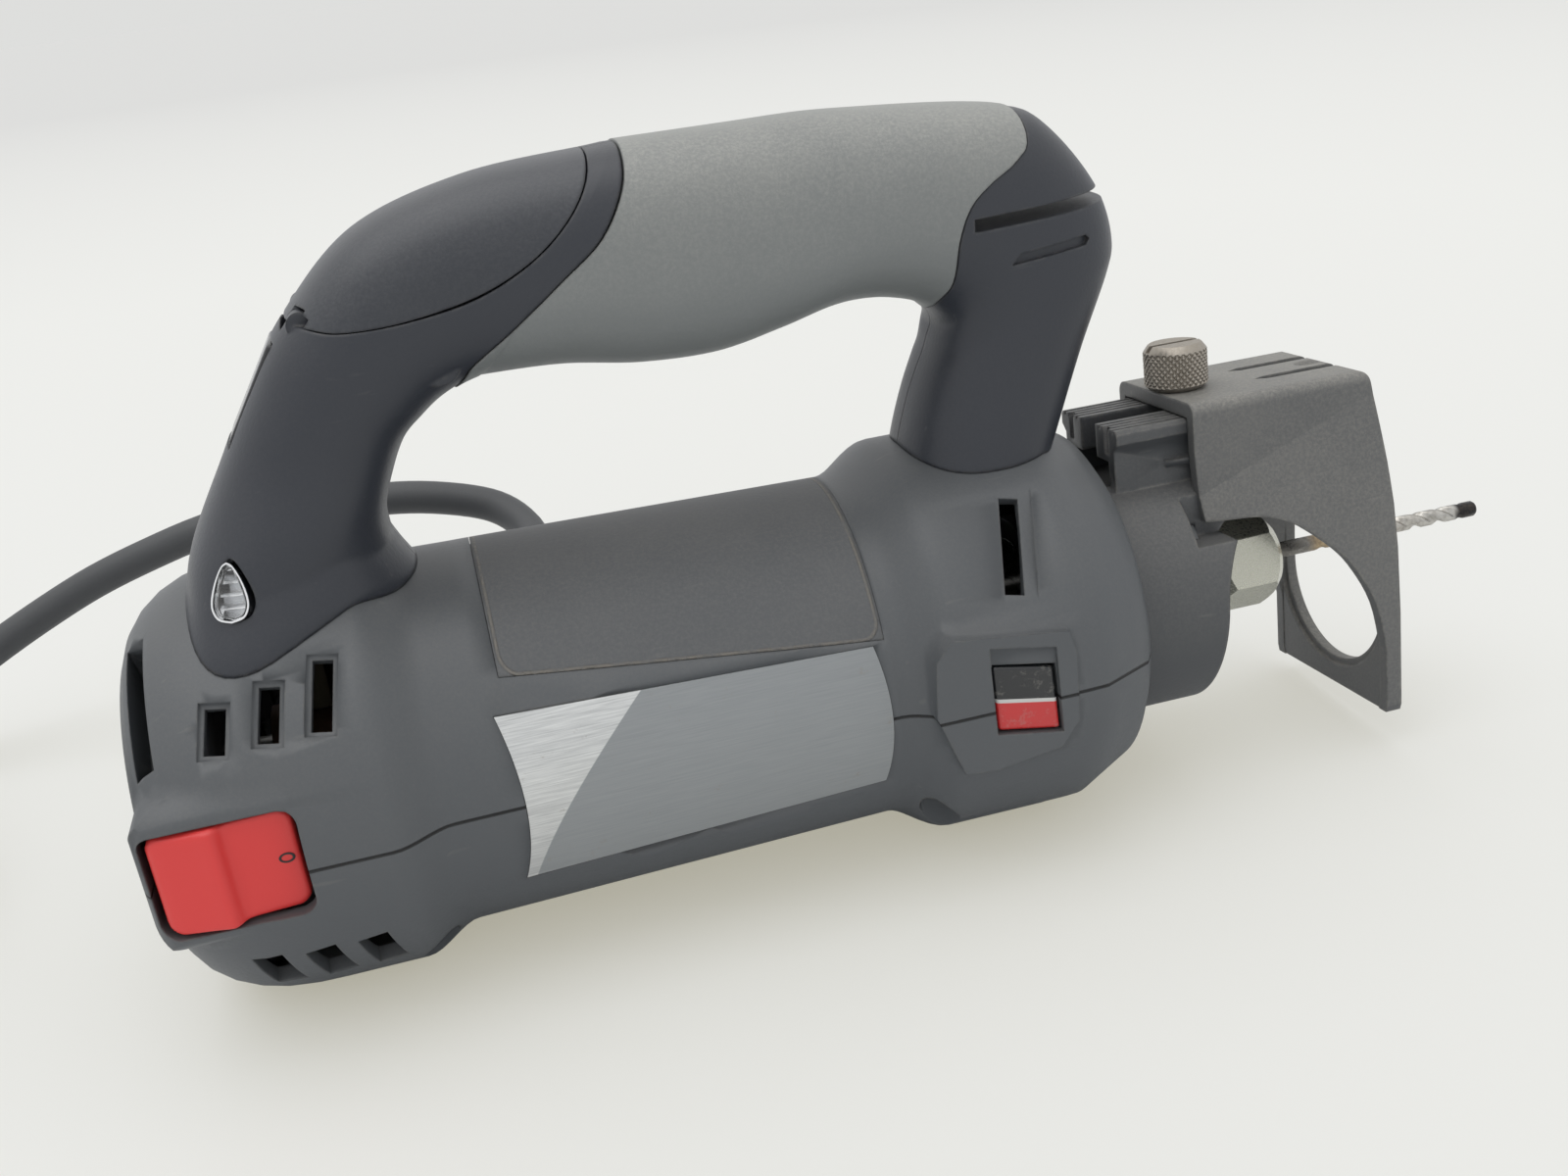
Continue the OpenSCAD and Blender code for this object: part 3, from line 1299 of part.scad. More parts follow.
// Cord: strain relief on the far side, a free stretch, a put-away coil, a tail and the plug
relief_end_y = body_r(relief_x) + relief_len;
flange_y = relief_seat - relief_flange_t;
module strain_relief() {
    color("#1b1c1e") place() difference() {
        union() {
            cross_rod(relief_x, flange_y, 0, relief_flange_t - seat_gap, relief_d);
            cross_rod(relief_x, flange_y, 0, relief_flange_t + 2 * wall, relief_groove_d);
            translate([relief_x, relief_seat + wall + seat_gap + 2 * wall, 0]) rotate([-90, 0, 0])
                cylinder(h = relief_end_y - relief_seat - 3 * wall - seat_gap,
                    d1 = relief_d, d2 = cord_d + wall, $fn = round_fn);
            cross_rod(relief_x, relief_seat + wall, 0, 2 * wall + over, relief_groove_d);
        }
        cross_rod(relief_x, 0, 0, relief_end_y - relief_seat / 3, cord_d / 2);
    }
}
module cord_clamp() {
    color("#4a4c50") place() translate([relief_x, flange_y - wall / 2 - seat_gap, 0])
        cube([cord_d + wall, wall, relief_d / 2], center = true);
}
// Places along the free cord, in the tool's own frame, from the strain relief to the coil
cord_places = [
    [12, 58, 0], [12, 62, 0], [13.5, 68, 0], [18, 74, -0.5], [25, 77.5, -1],
    [32, 78, -2], [42, 75, -3], [52, 71.5, -3.5], [58, 71, -3.5], [66, 74, -3],
    [72, 80, -2], [75, 88, -1], [74.5, 97, 1], [70, 104, 4], [63, 107.5, 6.5],
    [51.5, 110, 9], [40, 112, 10], [26, 113.5, 10.5], [13, 114.5, 10.5], [0, 115.5, 9],
    [-14, 116, 5.5], [-27, 116, 1.5], [-39, 116, -3.5], [-52, 115, -9.5], [-67, 113, -17],
    [-82, 110.5, -24], [-96, 107, -29], [-109, 103, -31.8], [-121, 99, -32.3], [-131, 95.5, -32.3]
];
module power_cord() {
    color("#1d1e20") place() tube(cord_places, cord_d, 10);
}
// Coil of two layers: in along the lower layer, up at the inside, out along the upper layer
coil_pitch = cord_d + coil_gap;
coil_out_r = coil_in_r + coil_turns * coil_pitch;
coil_steps = 24;
coil_end = cord_places[len(cord_places) - 1];
coil_dir = unit(coil_end - cord_places[len(cord_places) - 2]);
coil_start_angle = atan2(coil_dir[1], coil_dir[0]);
coil_side = [-coil_dir[1], coil_dir[0], 0];
coil_lead = cord_d;
coil_mid = coil_end + coil_lead * coil_dir + coil_out_r * coil_side;
coil_total = 2 * coil_turns + 0.5;
// The climbing half turn dips inside the innermost loop, clear of both layers
coil_dip = 1.6;
function coil_r(t) = t < coil_turns ? coil_out_r - coil_pitch * t :
    t < coil_turns + 0.5 ? coil_in_r - coil_dip * sin(360 * (t - coil_turns)) :
    coil_in_r + coil_pitch * (t - coil_turns - 0.5);
function coil_up(t) = coil_pitch * smooth(min(1, max(0, 2 * (t - coil_turns))));
function coil_place(t) =
    let (a = coil_start_angle - 90 + 360 * t)
    coil_mid + [coil_r(t) * cos(a), coil_r(t) * sin(a), coil_up(t)];
coil_turn_places = [for (i = [0:coil_steps * coil_total]) coil_place(i / coil_steps)];
coil_last = coil_turn_places[len(coil_turn_places) - 1];
coil_before = coil_turn_places[len(coil_turn_places) - 2];
tail_dir = unit([coil_last[0] - coil_before[0], coil_last[1] - coil_before[1], 0]);
coil_places = concat([coil_end], coil_turn_places, [coil_last + coil_lead * tail_dir]);
module cord_coil() {
    color("#1d1e20") place() tube(coil_places, cord_d, 6);
}
// Least air between the loops, measured on places more than half a turn apart
coil_count = len(coil_turn_places);
coil_air = min([for (i = [0:coil_count - 1]) for (j = [i + coil_steps / 2:1:coil_count - 1])
    norm(coil_turn_places[i] - coil_turn_places[j])]) - cord_d;
echo(coil_air = coil_air);
// Tail from the coil down to the plug, which lies on the same surface
plug_len = 30;
plug_w = 24;
plug_t = 16;
plug_drop = axis_h - plug_t / 2;
tail_start = coil_places[len(coil_places) - 1];
tail_len = 70;
tail_steps = 6;
tail_low = -plug_drop - tail_start[2];
tail_bend = [for (i = [0:tail_steps]) let (t = i / tail_steps)
    tail_start + (coil_lead + tail_len * t) * tail_dir + [0, 0, tail_low * smooth(t)]];
tail_end = tail_bend[tail_steps] + coil_lead * tail_dir;
tail_places = concat([tail_start], tail_bend, [tail_end]);
module cord_tail() {
    color("#1d1e20") place() tube(tail_places, cord_d, 10);
}
module at_plug() { translate(tail_end) rotate([0, 0, atan2(tail_dir[1], tail_dir[0])]) children(); }
blade_len = 16;
blade_w = 6.3;
blade_thick = 1.5;
blade_gap = 12.7;
module power_plug() {
    color("#1b1c1e") place() at_plug() rotate([0, 90, 0])
        linear_extrude(height = plug_len) rounded(plug_t, plug_w, plug_t / 3);
}
module plug_blades() {
    color("#c9b27c") place() at_plug() for (s = [-1, 1])
        translate([plug_len + blade_len / 2, s * blade_gap / 2, 0])
            cube([blade_len, blade_thick, blade_w], center = true);
}

upper_housing();
lower_housing();
housing_screws();
grip_panel();
label_plate();
switch_body();
rocker_switch();
lock_button();
lock_spring();
spindle();
rotor_core();
rotor_windings();
commutator();
cooling_fan();
rear_bearing();
front_bearing();
field_core();
field_coils();
brush_holders();
carbon_brushes();
collet();
collet_nut();
spiral_bit();
guide_collar();
guide_foot();
guide_thumbscrew();
guide_clamp_nut();
handle_near_shell();
handle_far_shell();
handle_grip();
handle_screws();
storage_cover();
cover_hinge_pin();
release_paddle();
paddle_pin();
indicator_lens();
lens_reflector();
strain_relief();
cord_clamp();
power_cord();
cord_coil();
cord_tail();
power_plug();
plug_blades();
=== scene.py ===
# %% [markdown]
# A hand held spiral cut-out tool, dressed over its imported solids.
# Every size is in millimetres along the tool's own stations: x runs from the rear end of the housing
# along the spindle, y to the far side, z up from the spindle. `at` turns that into the frame in metres.
# The plain solids keep their places, so a new piece only has to repeat the named sizes of the part.

# %% Load the frame
from math import atan2, cos, pi, radians, sin, sqrt

import bmesh
import bpy
from mathutils import Matrix, Vector


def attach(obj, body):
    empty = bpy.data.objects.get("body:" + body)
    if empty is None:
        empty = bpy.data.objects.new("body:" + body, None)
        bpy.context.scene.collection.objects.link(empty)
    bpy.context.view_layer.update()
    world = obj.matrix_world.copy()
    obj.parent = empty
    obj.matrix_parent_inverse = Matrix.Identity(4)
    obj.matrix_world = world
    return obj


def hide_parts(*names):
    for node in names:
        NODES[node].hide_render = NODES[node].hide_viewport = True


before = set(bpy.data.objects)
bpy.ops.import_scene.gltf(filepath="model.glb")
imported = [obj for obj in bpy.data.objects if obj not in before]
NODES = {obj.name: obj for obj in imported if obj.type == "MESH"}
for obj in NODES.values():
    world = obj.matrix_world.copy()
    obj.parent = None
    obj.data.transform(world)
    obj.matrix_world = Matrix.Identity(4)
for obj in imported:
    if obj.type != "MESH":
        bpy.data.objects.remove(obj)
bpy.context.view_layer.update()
MM = 0.001
REST_X = 32
AXIS_H = 36.5


def at(x, y, z):
    return Vector(((x - REST_X) * MM, y * MM, (z + AXIS_H) * MM))


def show(name, data):
    obj = bpy.data.objects.new(name, data)
    bpy.context.scene.collection.objects.link(obj)
    return obj


print(len(NODES), "solids loaded")

# %% [markdown]
# The camera stands where the photograph was taken from. Its place and turn were fitted to the round
# outlines of the housing, so the three directions are written as they came out of that fit.

# %% Camera
camera = show("camera", bpy.data.cameras.new("camera"))
camera.data.sensor_width = 36
camera.data.lens = 35.337
camera.data.clip_start = 0.01
turn = Matrix(((0.96087, 0.19983, -0.19184), (-0.25403, 0.35949, -0.89791), (-0.11047, 0.91150, 0.39619)))
camera.matrix_world = Matrix.Translation((0.02802, -0.25769, 0.16431)) @ turn.to_4x4()
bpy.context.scene.camera = camera
print("camera at", [round(v, 3) for v in camera.location])

# %% [markdown]
# A few makers of shapes are used again and again. `surface` bends a flat grid into any shape that is
# a function of two shares, `lathe` spins an outline, `prism` pulls a flat outline into a bar, and
# `carve` cuts one closed shape with another. `put` gives a finished shape its finish, its body and
# the solid that it stands for, and `keep` does so for a solid that stays as it is.

# %% Makers of shapes
def surface(along, around, place, closed=True):
    bm = bmesh.new()
    bmesh.ops.create_grid(bm, x_segments=along, y_segments=around, size=0.5)
    for v in bm.verts:
        v.co = place(v.co.x + 0.5, v.co.y + 0.5)
    bmesh.ops.remove_doubles(bm, verts=bm.verts, dist=1e-7)
    if closed:
        bmesh.ops.holes_fill(bm, edges=[e for e in bm.edges if e.is_boundary])
    bmesh.ops.recalc_face_normals(bm, faces=bm.faces)
    return bm


def lathe(outline, centre, axis, steps=96):
    bm = bmesh.new()
    axis = Vector(axis).normalized()
    side = axis.orthogonal().normalized()
    verts = [bm.verts.new(centre + (side * r + axis * h) * MM) for r, h in outline]
    edges = [bm.edges.new(pair) for pair in zip(verts, verts[1:])]
    bmesh.ops.spin(bm, geom=verts + edges, cent=centre, axis=axis, angle=2 * pi, steps=steps, use_merge=True)
    bmesh.ops.remove_doubles(bm, verts=bm.verts, dist=1e-7)
    bmesh.ops.recalc_face_normals(bm, faces=bm.faces)
    return bm


def prism(outline, pull, edge=0.0, steps=3):
    bm = bmesh.new()
    verts = [bm.verts.new(p) for p in outline]
    loop = [bm.edges.new(pair) for pair in zip(verts, verts[1:] + verts[:1])]
    face = bmesh.ops.edgeloop_fill(bm, edges=loop)["faces"]
    new = bmesh.ops.extrude_face_region(bm, geom=face)["geom"]
    bmesh.ops.translate(bm, verts=[g for g in new if isinstance(g, bmesh.types.BMVert)], vec=pull)
    bmesh.ops.recalc_face_normals(bm, faces=bm.faces)
    if edge:
        soften(bm, edge, steps)
    return bm


def soften(bm, width, steps=3, sharp=40):
    hard = [e for e in bm.edges if len(e.link_faces) == 2 and e.calc_face_angle(0) > radians(sharp)]
    bmesh.ops.bevel(bm, geom=hard, offset=width * MM, segments=steps, profile=0.5, affect="EDGES",
                    clamp_overlap=True, material=-1)
    return bm


def block(low, high):
    bm = bmesh.new()
    bmesh.ops.create_cube(bm, size=1)
    size = [b - a for a, b in zip(low, high)]
    middle = at(*[(a + b) / 2 for a, b in zip(low, high)])
    grown = Matrix.Diagonal([s * MM for s in size] + [1])
    bmesh.ops.transform(bm, matrix=Matrix.Translation(middle) @ grown, verts=bm.verts)
    return bm


def joined(*shapes):
    whole = bmesh.new()
    for shape in shapes:
        mesh = bpy.data.meshes.new("shape")
        shape.to_mesh(mesh)
        whole.from_mesh(mesh)
        bpy.data.meshes.remove(mesh)
        shape.free()
    return whole


def carve(bm, tool, operation="DIFFERENCE"):
    pair = []
    for shape in (bm, tool):
        mesh = bpy.data.meshes.new("shape")
        shape.to_mesh(mesh)
        shape.free()
        pair.append(show("shape", mesh))
    cut = pair[0].modifiers.new("cut", "BOOLEAN")
    cut.operation, cut.solver, cut.object = operation, "EXACT", pair[1]
    result = bpy.data.meshes.new_from_object(pair[0].evaluated_get(bpy.context.evaluated_depsgraph_get()))
    out = bmesh.new()
    out.from_mesh(result)
    bpy.data.meshes.remove(result)
    for o in pair:
        mesh = o.data
        bpy.data.objects.remove(o)
        bpy.data.meshes.remove(mesh)
    bmesh.ops.remove_doubles(out, verts=out.verts, dist=1e-6)
    return out


def put(name, bm, finish, body, stands_for=(), sharp=35):
    mesh = bpy.data.meshes.new(name)
    bm.to_mesh(mesh)
    bm.free()
    mesh.materials.append(finish)
    mesh.shade_smooth()
    mesh.set_sharp_from_angle(angle=radians(sharp))
    obj = show(name, mesh)
    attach(obj, body)
    if stands_for:
        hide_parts(*stands_for)
    print(name, len(mesh.polygons), "faces")
    return obj


def keep(name, node, finish, body, sharp):
    """Puts a piece that keeps the exact shape of its solid, with the loose triangles joined."""
    bm = bmesh.new()
    bm.from_mesh(NODES[node].data)
    bmesh.ops.remove_doubles(bm, verts=bm.verts, dist=2e-6)
    bmesh.ops.dissolve_degenerate(bm, edges=bm.edges, dist=1e-6)
    bmesh.ops.recalc_face_normals(bm, faces=bm.faces)
    put(name, bm, finish, body, [node], sharp)


def spline(points, steps):
    """Points of a smooth curve through the given points, which may be of any length."""
    out = []
    last = len(points) - 1
    for i in range(last):
        a, b, c, d = (points[max(0, min(last, k))] for k in (i - 1, i, i + 1, i + 2))
        for k in range(steps):
            t = k / steps
            out.append([q + (r - p) * t / 2 + (2 * p - 5 * q + 4 * r - s) * t * t / 2
                        + (3 * q - p - 3 * r + s) * t ** 3 / 2 for p, q, r, s in zip(a, b, c, d)])
    return out + [list(points[last])]


print("makers of shapes ready")

# %% [markdown]
# Finishes are made of nodes only. One shared group gives moulded plastic its fine grain, the dust
# that settles on surfaces that face up, which is also painted light that makes tops lighter than sides,
# thin scuffs, and paler worn edges; the Bevel node rounds the light on every edge, which saves
# thousands of small faces. Each finish sets its own amounts.

# %% Finishes
def link(tree, a, out, b, into):
    tree.links.new(a.outputs[out], b.inputs[into])


def add(tree, kind, settings=None, **values):
    node = tree.nodes.new("ShaderNode" + kind)
    for key, value in (settings or {}).items():
        setattr(node, key, value)
    for key, value in values.items():
        node.inputs[key.replace("_", " ")].default_value = value
    return node


def noise(tree, coord, scale, detail=3.0, rough=0.5, out="Object"):
    node = add(tree, "TexNoise", Scale=scale, Detail=detail, Roughness=rough)
    link(tree, coord, out, node, "Vector")
    return node


def spread(tree, source, out, low, high, to_low=0.0, to_high=1.0):
    node = add(tree, "MapRange", From_Min=low, From_Max=high, To_Min=to_low, To_Max=to_high)
    link(tree, source, out, node, "Value")
    return node


def feed(tree, source, node, into):
    """Feeds a socket with a node's first output, with a (node, output) pair, or with a plain value."""
    if isinstance(source, bpy.types.Node):
        link(tree, source, 0, node, into)
    elif isinstance(source, tuple) and isinstance(source[0], bpy.types.Node):
        link(tree, *source, node, into)
    else:
        node.inputs[into].default_value = (*source, 1) if isinstance(source, tuple) else source


def maths(tree, operation, a, b):
    node = add(tree, "Math", {"operation": operation})
    feed(tree, a, node, 0)
    feed(tree, b, node, 1)
    return node


def blend(tree, factor, a, b):
    node = add(tree, "Mix", {"data_type": "RGBA"})
    for into, source in ((0, factor), (6, a), (7, b)):
        feed(tree, source, node, into)
    return node


def colour_ramp(tree, source, stops):
    node = add(tree, "ValToRGB")
    while len(node.color_ramp.elements) < len(stops):
        node.color_ramp.elements.new(0.5)
    for element, (place, colour) in zip(node.color_ramp.elements, stops):
        element.position = place
        element.color = (*colour, 1)
    link(tree, source, 0, node, 0)
    return node


def weathered_group():
    tree = bpy.data.node_groups.new("weathered", "ShaderNodeTree")
    for name, kind in (("Base", "Color"), ("Dust", "Color"), ("Dust And Light Amount", "Float"), ("Wear", "Float"),
                       ("Grain", "Float"), ("Grain Scale", "Float"), ("Rough", "Float"), ("Edge", "Float")):
        tree.interface.new_socket(name=name, in_out="INPUT", socket_type="NodeSocket" + kind)
    for name, kind in (("Color", "Color"), ("Roughness", "Float"), ("Normal", "Vector")):
        tree.interface.new_socket(name=name, in_out="OUTPUT", socket_type="NodeSocket" + kind)
    given = tree.nodes.new("NodeGroupInput")
    result = tree.nodes.new("NodeGroupOutput")
    coord = add(tree, "TexCoord")
    shape = add(tree, "NewGeometry")
    # Round edges and fine grain
    round_edge = add(tree, "Bevel", {"samples": 4})
    link(tree, given, "Edge", round_edge, "Radius")
    grain = noise(tree, coord, 1500, 3, 0.6)
    link(tree, given, "Grain Scale", grain, "Scale")
    bump = add(tree, "Bump", Distance=0.00012)
    link(tree, grain, 0, bump, "Height")
    link(tree, given, "Grain", bump, "Strength")
    link(tree, round_edge, 0, bump, "Normal")
    link(tree, bump, 0, result, "Normal")
    # Dust in patches and specks on what faces up, partly painted light that makes tops lighter
    patches = spread(tree, noise(tree, coord, 40, 5, 0.6), 0, 0.3, 0.75, 0.28, 0.55)
    specks = spread(tree, noise(tree, coord, 1700, 4, 0.8), 0, 0.42, 0.74, 0.0, 0.5)
    split = add(tree, "SeparateXYZ")
    link(tree, shape, "Normal", split, 0)
    faces_up_dust_and_light = spread(tree, split, "Z", -0.3, 0.95, 0.12, 1.0)
    cover = maths(tree, "ADD", patches, specks)
    settled_dust_and_light = maths(tree, "MULTIPLY", cover, faces_up_dust_and_light)
    dust_and_top_light = maths(tree, "MULTIPLY", settled_dust_and_light, (given, "Dust And Light Amount"))
    dust_and_top_light.use_clamp = True
    # Worn edges and thin scuffs
    same = add(tree, "VectorMath", {"operation": "DOT_PRODUCT"})
    link(tree, round_edge, 0, same, 0)
    link(tree, shape, "Normal", same, 1)
    edges = spread(tree, same, "Value", 0.985, 0.86)
    broken = spread(tree, noise(tree, coord, 330, 4, 0.7), 0, 0.4, 0.62)
    stretch = add(tree, "Mapping", Scale=(60, 700, 420), Rotation=(0.4, 0.2, 0.7))
    link(tree, coord, "Object", stretch, "Vector")
    scuffs = spread(tree, noise(tree, stretch, 1, 2, 0.5, 0), 0, 0.70, 0.78, 0.0, 0.35)
    worn = maths(tree, "ADD", maths(tree, "MULTIPLY", edges, broken), scuffs)
    worn = maths(tree, "MULTIPLY", worn, (given, "Wear"))
    worn.use_clamp = True
    dusty = blend(tree, dust_and_top_light, (given, "Base"), (given, "Dust"))
    final = blend(tree, worn, (dusty, 2), (given, "Dust"))
    link(tree, final, 2, result, "Color")
    rough = maths(tree, "ADD", (given, "Rough"), maths(tree, "MULTIPLY", dust_and_top_light, 0.3))
    varied = maths(tree, "ADD", rough, spread(tree, specks, 0, 0, 0.5, -0.04, 0.05))
    link(tree, varied, 0, result, "Roughness")
    return tree


WEATHERED = weathered_group()


def empty_finish(name, metallic=0.0, **sockets):
    mat = bpy.data.materials.new(name)
    mat.use_nodes = True
    shader = mat.node_tree.nodes["Principled BSDF"]
    shader.inputs["Metallic"].default_value = metallic
    for key, value in sockets.items():
        shader.inputs[key.replace("_", " ")].default_value = value
    return mat, mat.node_tree, shader


def worn_finish(name, base, dust_and_top_light, amount, wear, grain, rough, grain_scale=1500, metallic=0.0, edge=0.6):
    mat, tree, shader = empty_finish(name, metallic)
    group = tree.nodes.new("ShaderNodeGroup")
    group.node_tree = WEATHERED
    group.inputs["Base"].default_value = (*base, 1)
    group.inputs["Dust"].default_value = (*dust_and_top_light, 1)
    amounts = {"Dust And Light Amount": amount, "Wear": wear, "Grain": grain, "Grain Scale": grain_scale,
               "Rough": rough, "Edge": edge * MM}
    for key, value in amounts.items():
        group.inputs[key].default_value = value
    link(tree, group, "Color", shader, "Base Color")
    link(tree, group, "Roughness", shader, "Roughness")
    link(tree, group, "Normal", shader, "Normal")
    mat.diffuse_color = (*base, 1)
    return mat


CHARCOAL = (0.084, 0.092, 0.101)
DUST = (0.30, 0.285, 0.255)
housing_finish = worn_finish("housing_plastic", CHARCOAL, DUST, 0.22, 0.30, 0.30, 0.44)
panel_finish = worn_finish("panel_rubber", (0.077, 0.083, 0.091), (0.30, 0.29, 0.27),
                           0.40, 0.25, 0.60, 0.60, 900)
handle_finish = worn_finish("handle_plastic", (0.025, 0.029, 0.039), DUST, 0.10, 0.22, 0.35, 0.40, edge=0.8)
cover_finish = worn_finish("cover_plastic", (0.024, 0.028, 0.037), (0.33, 0.33, 0.33),
                           0.24, 0.15, 0.35, 0.38, edge=0.8)
# The grip's pale dust on what faces up is partly dust and partly painted sheen, which makes its top lighter
# than its sides.
grip_finish = worn_finish("grip_rubber", (0.165, 0.178, 0.180), (0.57, 0.56, 0.51),
                          0.66, 0.10, 0.40, 0.46, 1100)
# The foot's heavy dust on what faces up is partly dust and partly painted light, so its flared lower wall
# looks lighter than the steep upper wall.
guide_finish = worn_finish("guide_plastic", (0.066, 0.071, 0.078), (0.44, 0.42, 0.37),
                           0.80, 0.40, 0.35, 0.46, edge=0.9)
rail_finish = worn_finish("rail_plastic", (0.055, 0.060, 0.067), (0.38, 0.36, 0.32),
                          0.35, 0.45, 0.35, 0.46, edge=0.9)
red_finish = worn_finish("red_plastic", (0.72, 0.042, 0.040), (0.70, 0.28, 0.26), 0.06, 0.12, 0.12, 0.36)
gloss_finish = worn_finish("gloss_plastic", (0.012, 0.013, 0.015), DUST, 0.05, 0.15, 0.05, 0.16)
dark_finish = worn_finish("dark_plastic", (0.014, 0.015, 0.017), DUST, 0.2, 0.1, 0.2, 0.5)
cord_finish = worn_finish("cord_rubber", (0.056, 0.059, 0.064), (0.16, 0.16, 0.155),
                          0.30, 0.10, 0.22, 0.52, 1800)
steel_finish = worn_finish("steel", (0.50, 0.50, 0.49), (0.20, 0.17, 0.13), 0.35, 0.10, 0.15, 0.30, 2200, 1.0)
screw_finish = worn_finish("knurled_steel", (0.40, 0.37, 0.33), (0.28, 0.24, 0.18),
                           0.65, 0.30, 0.15, 0.38, 2200, 0.8, 0.15)
zinc_finish = worn_finish("zinc_nut", (0.60, 0.60, 0.52), (0.40, 0.37, 0.24),
                          0.35, 0.10, 0.10, 0.26, 900, 0.7, 0.15)
iron_finish = worn_finish("iron", (0.10, 0.10, 0.105), (0.10, 0.08, 0.06), 0.4, 0.1, 0.3, 0.5, 2600, 0.6)
copper_finish = worn_finish("copper", (0.16, 0.08, 0.05), (0.10, 0.08, 0.06), 0.6, 0.1, 0.4, 0.55, 1200, 0.5)
holder_finish = worn_finish("holder_brass", (0.10, 0.085, 0.055), (0.10, 0.09, 0.07),
                            0.7, 0.1, 0.2, 0.55, 1500, 0.5)
brass_finish = worn_finish("brass", (0.62, 0.45, 0.20), (0.3, 0.22, 0.12), 0.3, 0.1, 0.1, 0.34, 1500, 1.0)
carbon_finish = worn_finish("carbon", (0.03, 0.03, 0.032), DUST, 0.1, 0.2, 0.3, 0.6)


def over_paint(mat, mask, colour, dip):
    """Lays a line of another colour over a worn finish, and sinks it or raises it by a bump."""
    tree = mat.node_tree
    shader = tree.nodes["Principled BSDF"]
    group = next(n for n in tree.nodes if n.type == "GROUP")
    link(tree, blend(tree, mask, (group, "Color"), colour), 2, shader, "Base Color")
    bump = add(tree, "Bump", {"invert": dip}, Distance=0.0004, Strength=0.9)
    link(tree, mask, 0, bump, "Height")
    link(tree, group, "Normal", bump, "Normal")
    link(tree, bump, 0, shader, "Normal")


def stations(tree):
    """The two coordinates that lines on the housing follow: along the spindle and up from it."""
    split = add(tree, "SeparateXYZ")
    link(tree, add(tree, "TexCoord"), "Object", split, 0)
    return maths(tree, "ADD", (split, "X"), REST_X * MM), maths(tree, "SUBTRACT", (split, "Z"), AXIS_H * MM)


def part_line():
    tree = housing_finish.node_tree
    off = maths(tree, "ABSOLUTE", stations(tree)[1], 0.0)
    over_paint(housing_finish, spread(tree, off, 0, 0.00036, 0.00016), (0.004, 0.004, 0.005), True)


def panel_border():
    tree = panel_finish.node_tree
    x, z = stations(tree)
    r = 3 * MM
    across = maths(tree, "ABSOLUTE", maths(tree, "SUBTRACT", x, 92.75 * MM), 0.0)
    across = maths(tree, "SUBTRACT", across, 31.6 * MM - r)
    edge = maths(tree, "SUBTRACT", 27.2 * MM + r, maths(tree, "MULTIPLY", x, 0.105))
    down = maths(tree, "SUBTRACT", edge, z)
    sides = [maths(tree, "POWER", maths(tree, "MAXIMUM", q, 0.0), 2.0) for q in (across, down)]
    reach = maths(tree, "SQRT", maths(tree, "ADD", *sides), 0.0)
    off = maths(tree, "ABSOLUTE", maths(tree, "SUBTRACT", reach, r), 0.0)
    line = spread(tree, off, 0, 0.0004, 0.00015)
    broken = spread(tree, noise(tree, add(tree, "TexCoord"), 420, 4, 0.7), 0, 0.35, 0.65, 0.15, 0.8)
    over_paint(panel_finish, maths(tree, "MULTIPLY", line, broken), (0.22, 0.20, 0.17), False)


part_line()
panel_border()


def label_finish():
    """Foil in two tones, brushed along its length, parted by a slanting curve."""
    mat, tree, shader = empty_finish(
        "label_foil", Specular_IOR_Level=0.5, Coat_Weight=0.25, Coat_Roughness=0.2)
    coord = add(tree, "TexCoord")
    x, z = stations(tree)
    bow = maths(tree, "MULTIPLY", maths(tree, "POWER", z, 2), 3.2 * MM / (15.5 * MM) ** 2)
    line = maths(tree, "ADD", maths(tree, "MULTIPLY", z, 0.757), bow)
    past = maths(tree, "SUBTRACT", maths(tree, "SUBTRACT", x, line), 68.8 * MM)
    side = spread(tree, past, 0, -0.0001, 0.0001)
    brush = add(tree, "Mapping", Scale=(90, 4200, 4200))
    link(tree, coord, "Object", brush, "Vector")
    lines = noise(tree, brush, 1, 4, 0.6, 0)
    silver = blend(tree, spread(tree, lines, 0, 0.3, 0.7), (0.50, 0.51, 0.51), (0.76, 0.77, 0.76))
    grey = blend(tree, spread(tree, lines, 0, 0.3, 0.7), (0.250, 0.266, 0.274), (0.290, 0.304, 0.312))
    both = blend(tree, side, (silver, 2), (grey, 2))
    spots = spread(tree, noise(tree, coord, 300, 5, 0.7), 0, 0.63, 0.75, 0.0, 0.6)
    link(tree, blend(tree, spots, (both, 2), (0.25, 0.22, 0.18)), 2, shader, "Base Color")
    link(tree, spread(tree, side, 0, 0, 1, 0.75, 0.1), 0, shader, "Metallic")
    link(tree, spread(tree, lines, 0, 0.2, 0.8, 0.30, 0.48), 0, shader, "Roughness")
    return mat


def bit_finish():
    """Grey shank, flutes burnt to gold by the cut, bright flutes and a dark smooth tip."""
    mat, tree, shader = empty_finish("bit_steel", 1.0)
    coord = add(tree, "TexCoord")
    split = add(tree, "SeparateXYZ")
    link(tree, coord, "Object", split, 0)
    share = spread(tree, split, "X", (209 - REST_X) * MM, (263 - REST_X) * MM)
    shank, dark_tip = (0.30, 0.29, 0.27), (0.03, 0.03, 0.032)
    ramp = colour_ramp(tree, share, (
        (0.0, shank), (0.27, shank), (0.31, (0.40, 0.31, 0.20)), (0.50, (0.38, 0.31, 0.23)),
        (0.66, (0.52, 0.50, 0.46)), (0.90, (0.55, 0.54, 0.51)), (0.92, dark_tip), (1.0, dark_tip)))
    stain = spread(tree, noise(tree, coord, 700, 4, 0.7), 0, 0.4, 0.7, 0.0, 0.5)
    link(tree, blend(tree, stain, ramp, (0.12, 0.10, 0.08)), 2, shader, "Base Color")
    link(tree, spread(tree, stain, 0, 0, 0.5, 0.26, 0.48), 0, shader, "Roughness")
    return mat


